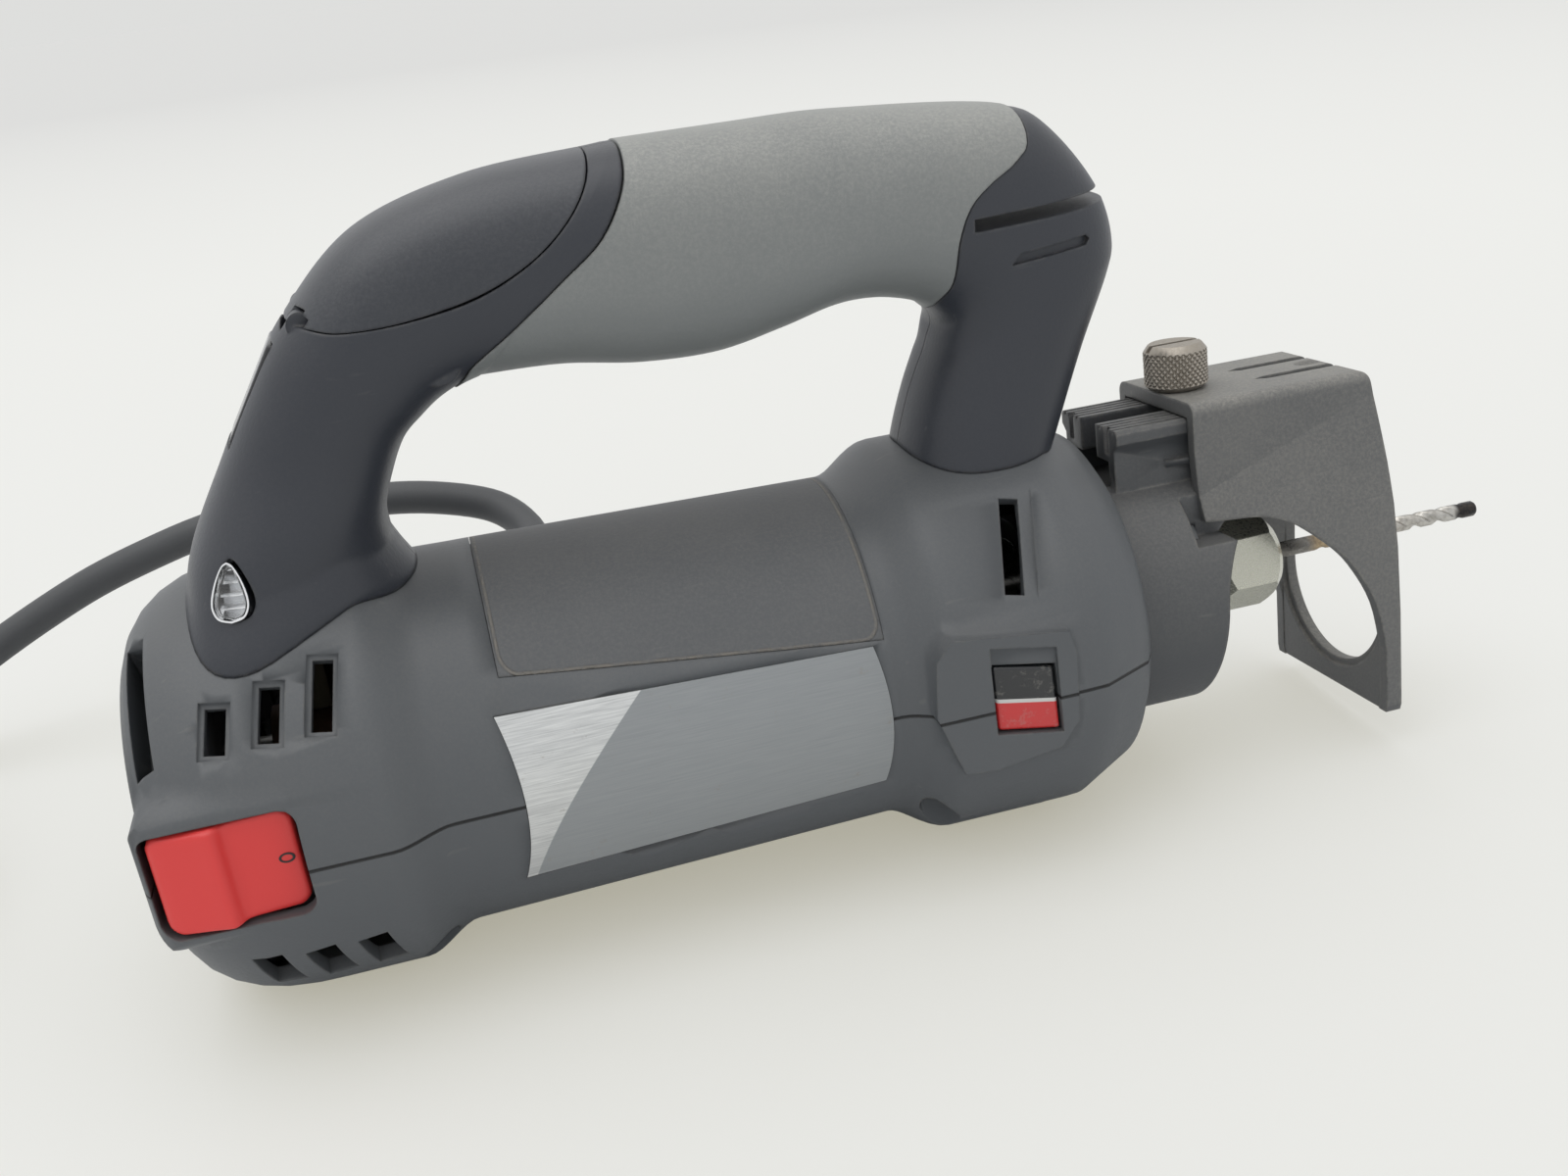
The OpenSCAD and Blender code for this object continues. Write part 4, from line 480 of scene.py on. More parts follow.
def clear_finish():
    mat, tree, shader = empty_finish("clear_lens", Base_Color=(1, 1, 1, 1), Transmission_Weight=1.0, IOR=1.49)
    smear = noise(tree, add(tree, "TexCoord"), 900, 3)
    link(tree, spread(tree, smear, 0, 0.3, 0.8, 0.0, 0.05), 0, shader, "Roughness")
    return mat


def bright_finish():
    mat, tree, shader = empty_finish("bright_metal", 1.0)
    smear = noise(tree, add(tree, "TexCoord"), 800, 3)
    link(tree, spread(tree, smear, 0, 0.3, 0.8, 0.16, 0.28), 0, shader, "Roughness")
    link(tree, blend(tree, smear, (0.86, 0.87, 0.88), (0.78, 0.79, 0.80)), 2, shader, "Base Color")
    return mat


label_foil = label_finish()
bit_steel = bit_finish()
clear_lens = clear_finish()
bright_metal = bright_finish()
print(len(bpy.data.materials), "finishes")

# %% [markdown]
# The cord leaves the far side through its strain relief, drops behind the rear bell, turns back and
# runs out of the picture on the left. The length that can't be seen is wound into a two layer coil
# just outside the view, held by a tie, with the plug lying beside it. It is one unbroken curve, so its
# length can be measured.

# %% Cord
CORD_D = 8
CORD_PLACES = [
    (12, 58, 0), (12, 62, 0), (13.5, 68, 0), (18, 74, -0.5), (25, 77.5, -1), (32, 78, -2), (42, 75, -3),
    (52, 71.5, -3.5), (58, 71, -3.5), (66, 74, -3), (72, 80, -2), (75, 88, -1), (74.5, 97, 1),
    (70, 104, 4), (63, 107.5, 6.5), (51.5, 110, 9), (40, 112, 10), (26, 113.5, 10.5), (13, 114.5, 10.5),
    (0, 115.5, 9), (-14, 116, 5.5), (-27, 116, 1.5), (-39, 116, -3.5), (-52, 115, -9.5),
    (-67, 113, -17), (-82, 110.5, -24), (-96, 107, -29), (-109, 103, -31.8), (-121, 99, -32.3),
    (-131, 95.5, -32.3)]
COIL_TURNS, COIL_IN, COIL_PITCH, COIL_DIP = 3.25, 32, 8.9, 1.6


def smooth(t):
    t = max(0.0, min(1.0, t))
    return t * t * (3 - 2 * t)


def signed_power(value, power):
    """Squares off a circle: below 1, the power pushes a cosine or sine towards its ends."""
    return abs(value) ** power * (1 if value >= 0 else -1)


coil_from = Vector(CORD_PLACES[-1])
coil_dir = (coil_from - Vector(CORD_PLACES[-2])).normalized()
coil_out = COIL_IN + COIL_TURNS * COIL_PITCH
coil_mid = coil_from + CORD_D * coil_dir + coil_out * Vector((-coil_dir.y, coil_dir.x, 0))


def coil_place(t):
    turned = t - COIL_TURNS
    if turned < 0:
        r = coil_out - COIL_PITCH * t
    elif turned < 0.5:
        r = COIL_IN - COIL_DIP * sin(2 * pi * turned)
    else:
        r = COIL_IN + COIL_PITCH * (turned - 0.5)
    a = atan2(coil_dir.y, coil_dir.x) - pi / 2 + 2 * pi * t
    return coil_mid + Vector((r * cos(a), r * sin(a), COIL_PITCH * smooth(2 * turned)))


COIL_STEPS = 36
coil = [coil_place(i / COIL_STEPS) for i in range(int(COIL_STEPS * (2 * COIL_TURNS + 0.5)) + 1)]
tail_dir = coil[-1] - coil[-2]
tail_dir.z = 0
tail_dir.normalize()
tail_from = coil[-1] + CORD_D * tail_dir
TAIL_LEN, TAIL_STEPS, PLUG_H = 70, 12, 8
tail_drop = PLUG_H - AXIS_H - tail_from.z
tail = [tail_from + (CORD_D + TAIL_LEN * i / TAIL_STEPS) * tail_dir
        + Vector((0, 0, tail_drop * smooth(i / TAIL_STEPS))) for i in range(TAIL_STEPS + 1)]
tail_end = tail[-1] + CORD_D * tail_dir
route = [Vector(p) for p in spline(CORD_PLACES, 4)] + coil + [tail_from] + tail + [tail_end]
cord_curve = bpy.data.curves.new("cord", "CURVE")
cord_curve.dimensions = "3D"
cord_curve.bevel_depth = CORD_D / 2 * MM
cord_curve.bevel_resolution = 5
cord_curve.use_fill_caps = True
line = cord_curve.splines.new("POLY")
line.points.add(len(route) - 1)
for point, place in zip(line.points, route):
    point.co = (*at(*place), 1)
line.use_smooth = True
cord = show("cord", cord_curve)
cord_curve.materials.append(cord_finish)
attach(cord, "body")
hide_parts("power_cord", "cord_coil", "cord_tail")
cord_length = sum((b - a).length for a, b in zip(route, route[1:])) * MM
print("cord", round(cord_length, 3), "m")

# %% [markdown]
# The plug is a moulded body that swells from the cord to a blunt front. A grid is bent into it: the
# share along sets the width and height, the share around runs round a soft rectangle.

# %% Plug and tie
PLUG_LEN = 30
plug_side = Vector((-tail_dir.y, tail_dir.x, 0))
PLUG_SHAPE = [(0.0, 4.6, 4.6), (0.10, 5.2, 5.2), (0.30, 6.2, 5.8), (0.45, 9.6, 7.0), (0.62, 11.7, 7.8),
              (0.90, 11.8, 7.8), (0.98, 11.2, 7.3), (1.0, 10.2, 6.6)]
plug_rows = spline(PLUG_SHAPE, 4)


def plug_point(u, v):
    k = min(len(plug_rows) - 1, int(round(u * (len(plug_rows) - 1))))
    share, half_w, half_h = plug_rows[k]
    c, s = cos(2 * pi * v), sin(2 * pi * v)
    square = 0.6 if share > 0.3 else 1.0
    c, s = signed_power(c, square), signed_power(s, square)
    return at(*(tail_end + tail_dir * share * PLUG_LEN + plug_side * c * half_w + Vector((0, 0, s * half_h))))


plug_shape = surface(len(plug_rows) - 1, 40, plug_point)
plug = put("plug", plug_shape, dark_finish, "body", ["power_plug"])
tie_a = radians(200)
tie_out = Vector((cos(tie_a), sin(tie_a), 0))
tie_mid = coil_mid + tie_out * (COIL_IN + coil_out) / 2 + Vector((0, 0, COIL_PITCH / 2))
tie_half = ((coil_out - COIL_IN) / 2 + CORD_D / 2 + 1.4, COIL_PITCH / 2 + CORD_D / 2 - 0.2)


def tie_point(u, v):
    a = 2 * pi * u
    c, s = signed_power(cos(a), 0.35), signed_power(sin(a), 0.35)
    grow, along = [(0, -4), (1.0, -4), (1.0, 4), (0, 4), (0, -4)][int(round(v * 4))]
    spot = tie_mid + tie_out * c * (tie_half[0] + grow) + Vector((0, 0, s * (tie_half[1] + grow)))
    spot.z = max(spot.z, -36.0 - 0.45 * grow)
    return at(*(spot + Vector((-tie_out.y, tie_out.x, 0)) * along))


tie = put("cord_tie", surface(72, 4, tie_point, closed=False), dark_finish, "body")

# %% [markdown]
# The strain relief is a tapered rubber sleeve with open rings, so that the cord can't kink where it
# leaves the housing. It is one outline spun round the cord.

# %% Strain relief
relief_line = [(0, 31), (5.5, 31), (5.5, 42), (7, 42), (7.2, 42.5), (7.2, 44.4), (6.9, 45)]
for i in range(5):
    y = 45.5 + i * 2.4
    r = 6.9 - (y - 45) / 13 * 1.4
    relief_line += [(r - 1.0, y), (r - 1.0, y + 0.7), (r, y + 0.9), (r - 0.15, y + 2.0)]
relief_line += [(5.3, 57.4), (4.9, 58), (0, 58)]
sleeve = lathe(relief_line, at(12, 0, 0), (0, 1, 0))
put("strain_sleeve", sleeve, dark_finish, "body", ["strain_relief"], 40)

# %% [markdown]
# The housing, the guide and the nut keep the exact shape of their solids. Each is copied, its loose
# triangles are joined, and it is shaded smooth up to a small angle, so that the round bells look
# turned and the edges of windows and pads stay crisp.

# %% Housing
keep("housing_upper", "upper_housing", housing_finish, "body", 22)
keep("housing_lower", "lower_housing", housing_finish, "body", 22)
keep("top_panel", "grip_panel", panel_finish, "body", 30)
keep("label", "label_plate", label_foil, "body", 30)

# %% [markdown]
# The handle is one closed bow. Its cross sections are listed along the bow as shares of its reach and
# height: outer edge, inner edge, half width, and how much wider the rear is. A smooth curve runs
# through them, and the same curve set in by a depth gives the hollow and the seat of the soft grip.

# %% Handle sections
REACH, TOP, WIDTH = 183, 98, 32
SECTIONS = [
    (0.058, 0.200, 0.270, 0.200, 1.32, 0.55), (0.062, 0.306, 0.270, 0.316, 1.29, 0.50),
    (0.074, 0.378, 0.264, 0.388, 1.25, 0.28), (0.090, 0.459, 0.264, 0.459, 1.18, 0.12),
    (0.130, 0.582, 0.279, 0.531, 1.02, 0), (0.166, 0.690, 0.295, 0.582, 0.98, 0),
    (0.210, 0.801, 0.314, 0.612, 0.97, 0), (0.284, 0.923, 0.330, 0.633, 0.97, 0),
    (0.388, 0.982, 0.347, 0.649, 0.98, 0), (0.503, 0.998, 0.363, 0.659, 1.00, 0),
    (0.521, 1.000, 0.374, 0.662, 1.00, 0), (0.574, 1.000, 0.442, 0.657, 1.00, 0),
    (0.634, 1.000, 0.514, 0.636, 1.00, 0), (0.699, 1.000, 0.585, 0.632, 1.00, 0),
    (0.760, 0.993, 0.645, 0.653, 1.00, 0), (0.814, 0.985, 0.699, 0.677, 0.98, 0),
    (0.858, 0.976, 0.743, 0.678, 0.96, 0), (0.891, 0.965, 0.784, 0.659, 0.94, 0),
    (0.916, 0.947, 0.801, 0.633, 0.92, 0), (0.950, 0.882, 0.806, 0.607, 0.90, 0),
    (0.978, 0.801, 0.801, 0.582, 0.88, 0), (0.989, 0.724, 0.796, 0.556, 0.87, 0),
    (0.984, 0.668, 0.788, 0.526, 0.87, 0), (0.955, 0.541, 0.776, 0.474, 0.88, 0),
    (0.929, 0.418, 0.763, 0.398, 0.92, 0), (0.907, 0.316, 0.754, 0.316, 0.98, 0),
    (0.893, 0.240, 0.749, 0.240, 1.00, 0)]
STEPS = 12
FINE = spline(SECTIONS, STEPS)
SQUARE = 0.8
SHOULDER = [(0, 1), (0.21, 0.985), (0.84, 0.55), (0.95, 0.31), (1, 0)]


def body_r(x):
    if x < 25:
        return 23 + 15.5 * (1 - (1 - x / 25) ** 2.6) ** 0.5
    if x < 39:
        return 38.5
    if x < 49:
        return 38.5 - 4.5 * smooth((x - 39) / 10)
    if x < 126:
        return 34 - 1.5 * (x - 49) / 77
    if x < 137:
        return 32.5 + 5.25 * smooth((x - 126) / 11)
    if x < 159:
        return 37.75
    share = (x - 159) / 16
    for (a, high), (b, low) in zip(SHOULDER, SHOULDER[1:]):
        if share <= b:
            return 26.5 + 11.25 * (high + (low - high) * (share - a) / (b - a))
    return 26.5


def bow(first, last, inset, around=64, flare=0.0):
    rows = FINE[first * STEPS:last * STEPS + 1]

    def place(u, v):
        ox, oz, ix, iz, half, taper = rows[int(round(u * (len(rows) - 1)))]
        outer, inner = Vector((ox * REACH, oz * TOP)), Vector((ix * REACH, iz * TOP))
        c, s = cos(2 * pi * v), sin(2 * pi * v)
        c, s = signed_power(c, SQUARE), -signed_power(s, SQUARE)
        reach = (outer - inner).length / 2

        def spot(depth):
            p = (outer + inner) / 2 + (outer - inner) / 2 / reach * c * (reach - depth)
            return Vector((p.x, s * (half * WIDTH / 2 * (1 + c * taper) - depth), p.y))

        p = spot(inset)
        off = sqrt(p.y ** 2 + p.z ** 2) - body_r(p.x) if flare and p.x < 80 else 9
        return at(*spot(inset - flare * smooth(1 - c) * max(0.0, min(1.0, 1 - off / 6))))

    return surface(len(rows) - 1, around, place)


ACROSS = Vector((0, 80 * MM, 0))


def side_prism(shares, grow=0.0):
    """A bar across the tool whose outline is seen from the side."""
    points = [Vector((x * REACH, z * TOP)) for x, z in shares]
    middle = sum(points, Vector((0, 0))) / len(points)
    points = [p + (p - middle).normalized() * grow for p in points]
    return prism([at(p.x, -40, p.y) for p in points], ACROSS)


SEAM = spline([(0.205, 0.812), (0.233, 0.799), (0.262, 0.789), (0.317, 0.792), (0.377, 0.812),
               (0.426, 0.852), (0.462, 0.903), (0.486, 0.959), (0.498, 1.020)], 5)
SEAM += [[0.498, 1.12], [0.17, 1.12], [0.17, 0.84]]
GRIP_REAR = spline([(0.530, 1.061), (0.524, 1.000), (0.515, 0.941), (0.489, 0.870), (0.450, 0.815),
                    (0.400, 0.746), (0.366, 0.700), (0.354, 0.672), (0.333, 0.612)], 5)
GRIP_FRONT = spline([(0.796, 0.592), (0.799, 0.658), (0.808, 0.698), (0.812, 0.772), (0.824, 0.826),
                     (0.845, 0.860), (0.874, 0.890), (0.890, 0.928), (0.890, 1.061)], 5)
HINGE = (0.2284 * REACH, 0.8 * TOP)
BARREL = 0.36 * WIDTH
EAR, RELIEF, KNUCKLE_R = BARREL / 2 + 1.9, BARREL / 2 + 4.6, 2.2
print(len(FINE), "handle sections")

# %% [markdown]
# The housing's round outline is cut out of the foot of the handle, so the skirt sits on the bell. The
# bow is then parted by two outlines seen from the side: the storage cover and the soft grip. Each part
# is set back a little, which leaves the dark seams of the real moulding.

# %% Handle shells
def rod(x, z, low, high, r, steps=48):
    """A round bar across the tool."""
    return lathe([(0, low), (r, low), (r, high), (0, high)], at(x, 0, z), (0, 1, 0), steps)


def in_paddle(x, y, z):
    """A place in the release paddle's own frame, which leans with the rear leg."""
    a = radians(33)
    return at(0.191 * REACH + x * cos(a) + z * sin(a), y, 0.757 * TOP - x * sin(a) + z * cos(a))


def paddle_bar(gap, room, edge=0.0):
    low, high = -gap - room, 3.6 + gap + room
    corners = [(low, 2 + gap), (high, 2 + gap), (high, -16 - gap), (low, -16 - gap)]
    return prism([in_paddle(x, -6 - gap, z) for x, z in corners], Vector((0, (12 + 2 * gap) * MM, 0)), edge)


LENS_TURN = Matrix.Rotation(radians(-14), 3, "Z") @ Matrix.Rotation(radians(65), 3, "X")


def in_lens(x, y, z):
    """A place in the frame of the indicator lens: z points out of the handle's side."""
    return at(*(Vector((22.8, -19.6, 41.2)) + LENS_TURN @ Vector((x, y, z))))


EGG = spline([(0, 4.8), (0.8, 4.3), (1.6, 3.0), (2.4, 1.1), (2.95, -1.0), (2.9, -2.7), (2.0, -4.2),
              (0, -4.8)], 4)


def egg_bar(grow, low, high, shift=(0, 0), edge=0.0):
    """A bar with the lens's outline, an egg with its point up."""
    line = [Vector(p) for p in EGG] + [Vector((-x, y)) for x, y in EGG[-2:0:-1]]
    line = [p + (p - Vector((0, -1))).normalized() * grow + Vector(shift) for p in line]
    pull = LENS_TURN @ Vector((0, 0, high - low)) * MM
    return prism([in_lens(p.x, p.y, low) for p in line], pull, edge)


def body_form(grow):
    """The round housing without its details, a little larger, which is cut from what sits on it."""
    rows = [(body_r(x) + grow, x) for x in [2 + i * 1.5 for i in range(115)]]
    return lathe([(0, 2)] + rows + [(0, 173)], at(0, 0, 0), (1, 0, 0), 128)


SCREWS = [(0.204 * REACH, 0.52 * TOP), (0.334 * REACH, 0.71 * TOP), (0.869 * REACH, 0.45 * TOP)]
shell = carve(bow(0, 26, 0, flare=2.2), body_form(0.15))
shell = carve(shell, side_prism(SEAM, 0.25))
shell = carve(shell, side_prism(GRIP_REAR + GRIP_FRONT, 0.25))
shell = carve(shell, bow(1, 10, 4.2))
shell = carve(shell, rod(*HINGE, -BARREL / 2 - 0.4, BARREL / 2 + 0.4, 3.4))
shell = carve(shell, paddle_bar(0.4, 1.7))
slot_line = [at(151.4, -40, 76.7), at(200, -40, 78.0), at(200, -40, 80.2), at(151.4, -40, 78.9)]
shell = carve(shell, prism(slot_line, ACROSS))
thumb_line = [(150.6, 69.5), (172.2, 71.2), (173, 72.1), (172.2, 72.9), (150.6, 71.1), (149.8, 70.3)]
thumb_bar = prism([at(x, -40, z) for x, z in thumb_line], ACROSS)
shell = carve(shell, carve(carve(bow(19, 24, -1), bow(18, 25, 0.9)), thumb_bar, "INTERSECT"))
core = carve(bow(7, 20, 2.1), side_prism(GRIP_REAR + GRIP_FRONT, 0.2), "INTERSECT")
ears = [rod(*HINGE, s * EAR - 1.5, s * EAR + 1.5, KNUCKLE_R) for s in (-1, 1)]
shell = joined(shell, core)
near = carve(shell.copy(), block((-20, -60, -60), (260, -0.05, 160)), "INTERSECT")
near = carve(near, egg_bar(0.3, -4.4, 10, (0.35, 0.3)))
far = carve(shell, block((-20, 0.05, -60), (260, 60, 160)), "INTERSECT")
for x, z in SCREWS:
    far = carve(far, rod(x, z, 11.3, 40, 2.8))
bosses = [[rod(x, z, *ends, 3.5) for x, z in SCREWS[:2]] for ends in ((-12.5, -0.05), (0.05, 11.2))]
for side, half, ear, boss in zip(("near", "far"), (near, far), ears, bosses):
    half = joined(half, ear, *boss)
    put("handle_" + side, half, handle_finish, "body", ["handle_%s_shell" % side])

# %% [markdown]
# The soft grip is the same bow a touch larger, with its inside taken out, and only what lies between
# its two borders is kept. The storage cover is made the same way and gets the barrel of its hinge.

# %% Soft grip and storage cover
grip = carve(carve(bow(7, 20, -0.3), bow(6, 21, 2.0)), side_prism(GRIP_REAR + GRIP_FRONT, -0.1), "INTERSECT")
put("soft_grip", grip, grip_finish, "body", ["handle_grip"])
lid = carve(carve(bow(4, 10, 0), bow(3, 11, 3.0)), side_prism(SEAM, -0.2), "INTERSECT")
lid = carve(lid, joined(*[rod(*HINGE, s * EAR - 2, s * EAR + 2, KNUCKLE_R + 0.5) for s in (-1, 1)]))
for s in (-1, 1):
    lid = carve(lid, rod(*HINGE, s * RELIEF - 0.9, s * RELIEF + 0.9, 1.9))
lid = joined(lid, rod(*HINGE, -BARREL / 2, BARREL / 2, KNUCKLE_R))
put("lid", lid, cover_finish, "cover", ["storage_cover"])
put("paddle", paddle_bar(0, 0, 0.7), gloss_finish, "paddle", ["release_paddle"])
put("paddle_pivot", rod(36.63, 73.1, -7.3, 7.3, 1.0), steel_finish, "body", ["paddle_pin"])
put("hinge_pivot", rod(*HINGE, -8.6, 8.6, 1.0), steel_finish, "body", ["cover_hinge_pin"])

# %% [markdown]
# The power light sits behind a clear drop with a bright rim. Behind it lie mirrored steps, each a small
# three sided bar, which throw the light forward.

# %% Indicator lens
rim = carve(egg_bar(0.0, -2.4, 0.6), egg_bar(-0.3, -3, 2))
put("lens_rim", rim, bright_metal, "body", sharp=30)
steps = [egg_bar(-0.1, -3.8, -3.0)]
for i in range(4):
    y = -4.0 + i * 1.9
    half = (2.0, 2.4, 2.0, 1.1)[i]
    side = [in_lens(-half, y, -3.1), in_lens(-half, y + 1.8, -3.1), in_lens(-half, y + 0.3, -1.5)]
    steps.append(prism(side, in_lens(half, 0, 0) - in_lens(-half, 0, 0)))
put("lens_steps", joined(*steps), bright_metal, "body", ["lens_reflector"], 20)
put("lens", egg_bar(-0.6, -1.0, 0.4, edge=0.4), clear_lens, "body", ["indicator_lens"])

# %% [markdown]
# The rocker's face is a grid whose depth follows a curve along the switch: a swelling rear wing, a ridge,
# and a flat front wing. Points near the border sink, which rounds every edge and corner at once. The
# border is then extruded back, and a dark ring on the front wing is painted shade that shows the
# moulded off mark. It turns on two short pins.

# %% Rocker switch
WINGS = spline([(0, 0.22), (0.05, 0.175), (0.12, 0.135), (0.22, 0.095), (0.33, 0.05), (0.42, 0.005),
                (0.46, 0.005), (0.495, 0.07), (0.53, 0.155), (0.58, 0.195), (0.68, 0.215),
                (0.82, 0.235), (1.0, 0.26)], 6)
WING_SCALE = 11
HALF_LEN, HALF_H, CORNER, EDGE = 11.1, 9.0, 2.6, 0.9
ROCKER_X, ROCKER_Y, ROCKER_Z, ROCKER_BACK = 14.1, -38.4, 1.6, -28.5


def wing_depth(share):
    for a, b in zip(WINGS, WINGS[1:]):
        if share <= b[0]:
            return WING_SCALE * (a[1] + (b[1] - a[1]) * (share - a[0]) / (b[0] - a[0]))
    return WING_SCALE * WINGS[-1][1]


def rocker_face(u, v):
    x, z = (2 * u - 1) * HALF_LEN, (2 * v - 1) * HALF_H
    out_x, out_z = max(abs(x) - HALF_LEN + CORNER, 0), max(abs(z) - HALF_H + CORNER, 0)
    reach = sqrt(out_x ** 2 + out_z ** 2)
    if reach > CORNER:
        x -= (1 if x > 0 else -1) * out_x * (1 - CORNER / reach)
        z -= (1 if z > 0 else -1) * out_z * (1 - CORNER / reach)
    inside = max(0.0, CORNER - reach) if reach else min(HALF_LEN - abs(x), HALF_H - abs(z))
    sink = EDGE - sqrt(max(0.0, EDGE ** 2 - max(0.0, EDGE - inside) ** 2))
    depth = wing_depth((x + HALF_LEN) / 2 / HALF_LEN)
    return at(ROCKER_X + x, ROCKER_Y + depth + sink, ROCKER_Z + z)


rocker = surface(64, 48, rocker_face, closed=False)
back = bmesh.ops.extrude_edge_only(rocker, edges=[e for e in rocker.edges if e.is_boundary])["geom"]
for v in back:
    if isinstance(v, bmesh.types.BMVert):
        v.co.y = ROCKER_BACK * MM
bmesh.ops.holes_fill(rocker, edges=[e for e in rocker.edges if e.is_boundary])
bmesh.ops.recalc_face_normals(rocker, faces=rocker.faces)
trunnions = lathe([(0, -8.6), (1.4, -8.6), (1.4, 11.8), (0, 11.8)], at(14.4, -29.4, 0), (0, 0, 1), 32)
put("rocker", joined(rocker, trunnions), red_finish, "rocker", ["rocker_switch"], 32)
# The off mark's dark colour is painted shade: the moulded mark itself is red like the rocker.
mark = lathe([(0.75, 0), (1.1, 0), (1.1, 0.3), (0.75, 0.3), (0.75, 0)], Vector(), (0, 1, 0), 40)
bmesh.ops.scale(mark, vec=(1.15, 1, 0.8), verts=mark.verts)
bmesh.ops.translate(mark, vec=at(22.9, -35.82, 1.9), verts=mark.verts)
put("off_mark_painted_shade", mark, dark_finish, "rocker")

# %% [markdown]
# The shaft lock button is a slanting cap on a pin. Its plain badge is painted in the finish, as a dark
# field over a pale line and a red foot.

# %% Shaft lock button
def badge_finish():
    mat, tree, shader = empty_finish("button_badge", Coat_Weight=0.4, Coat_Roughness=0.15)
    coord = add(tree, "TexCoord")
    split = add(tree, "SeparateXYZ")
    link(tree, coord, "Object", split, 0)
    slant = maths(tree, "ADD", (split, "Z"), maths(tree, "MULTIPLY", (split, "X"), 0.2))
    height = spread(tree, slant, 0, (AXIS_H + 23 - 5.1) * MM, (AXIS_H + 23 + 7.3) * MM)
    foot, line, field = (0.58, 0.025, 0.026), (0.60, 0.60, 0.58), (0.014, 0.015, 0.017)
    ramp = colour_ramp(tree, height, ((0.0, foot), (0.44, line), (0.50, field), (1.0, field)))
    ramp.color_ramp.interpolation = "CONSTANT"
    specks = spread(tree, noise(tree, coord, 600, 4, 0.7), 0, 0.55, 0.75, 0.0, 0.4)
    link(tree, blend(tree, specks, ramp, DUST), 2, shader, "Base Color")
    link(tree, spread(tree, specks, 0, 0, 0.4, 0.22, 0.45), 0, shader, "Roughness")
    return mat


BUTTON = [(-5.88, 7.37), (5.28, 5.04), (6.06, -7.31), (-5.34, -5.10)]
button = prism([at(147 + x, -33.65, 1.1 + z) for x, z in BUTTON], Vector((0, -4 * MM, 0)), 0.7)
lock_pin = rod(147, 0, -35.6, -7, 2.4)
put("button", joined(button, lock_pin), badge_finish(), "lock", ["lock_button"])

# %% [markdown]
# The collar of the depth guide keeps its solid's shape. The foot is a bent sheet: one section with a
# steep wall, a crease and a flared wall is drawn along the spindle, and what lies inside the outline
# seen from the side is kept. The front plate with its window is made apart and joined on last, so that
# every cut works on a simple shape.

# %% Depth guide
def in_guide(x, y, z):
    """A place in the depth guide's frame, which is turned a little about the spindle."""
    a = radians(-5)
    return at(x, y * cos(a) - z * sin(a), y * sin(a) + z * cos(a))


keep("guide_rails", "guide_collar", rail_finish, "body", 22)
FOOT_X, FOOT_END, FOOT_LEN = 192.5, 232.0, 39.5
FOOT_LOW, FOOT_TOP, FOOT_H = -31.0, 37.3, 68.3
SHEET, ROOF = 2.4, 2.8
BASE_Y, BASE_Z = 19.2, 3.0
KNEE_Y, SIDE_Y = 15.15, 15.1
ROUND_Y, ROUND_Z, ROUND_R, ROUND_STEPS = 12.8, 35.0, 2.3, 16
ARCH = spline([(0.025, 0.672), (0.1, 0.668), (0.28, 0.66), (0.4, 0.64), (0.52, 0.6), (0.68, 0.52),
               (0.78, 0.445), (0.87, 0.34), (0.92, 0.2)], 4)
FRONT = spline([(1, 0.62), (0.985, 0.74), (0.955, 0.88), (0.932, 0.965), (0.916, 0.992), (0.89, 1)], 4)
FOOT_SIDE = [(0, 1.02), (0, 0.86), (0.01, 0.76)] + ARCH + [(0.92, 0), (1, 0)] + FRONT + [(0.88, 1.02)]


def foot_wall(x, inset):
    """Half of the foot's section: a steep wall, a crease that rises to the front, a flared wall below.

    The outside has a round upper edge; every line set in from it has a plain corner there.
    """
    crease = min(20.3 + 0.37 * (x - 194.7), 32.5)
    top = FOOT_TOP - inset * ROOF / SHEET
    shoulder = min(ROUND_Z, top)
    line = [(BASE_Y, FOOT_LOW - 1), (20, -29.6), (19.9, -10.5), (BASE_Y, BASE_Z)]
    line += [(BASE_Y + (KNEE_Y - BASE_Y) * i / 6, BASE_Z + (crease - BASE_Z) * i / 6) for i in range(1, 7)]
    line += [(KNEE_Y + (SIDE_Y - KNEE_Y) * i / 3, crease + (shoulder - crease) * i / 3) for i in range(1, 4)]
    for i in range(1, ROUND_STEPS + 1):
        a = pi / 2 * i / ROUND_STEPS
        plain = (SIDE_Y - ROUND_R * i / ROUND_STEPS, top)
        line.append(plain if inset else (ROUND_Y + ROUND_R * cos(a), ROUND_Z + ROUND_R * sin(a)))
    return [(y - inset, z) for y, z in line]


def foot_ring(x):
    half = foot_wall(x, 0)
    hollow = foot_wall(x, SHEET)
    ring = [(-y, z) for y, z in half] + half[::-1] + hollow + [(-y, z) for y, z in hollow[::-1]]
    return ring + ring[:1]


def foot_point(u, v):
    x = FOOT_X - 1 + u * (FOOT_END - FOOT_X + 2)
    ring = foot_ring(x)
    return in_guide(x, *ring[int(round(v * (len(ring) - 1)))])


def guide_bar(outline, x0, x1):
    """A bar along the spindle from an outline across the guide."""
    return prism([in_guide(x0, y, z) for y, z in outline], in_guide(x1, 0, 0) - in_guide(x0, 0, 0))


def eye(grow):
    """The tall opening that the bit passes through: two half circles, one above the other."""
    r, drop, steps = 17 + grow, 8.5, 48
    arc = [(r * cos(a), r * sin(a)) for a in [pi * i / steps for i in range(steps + 1)]]
    return arc + [(-y, -drop - z) for y, z in arc]


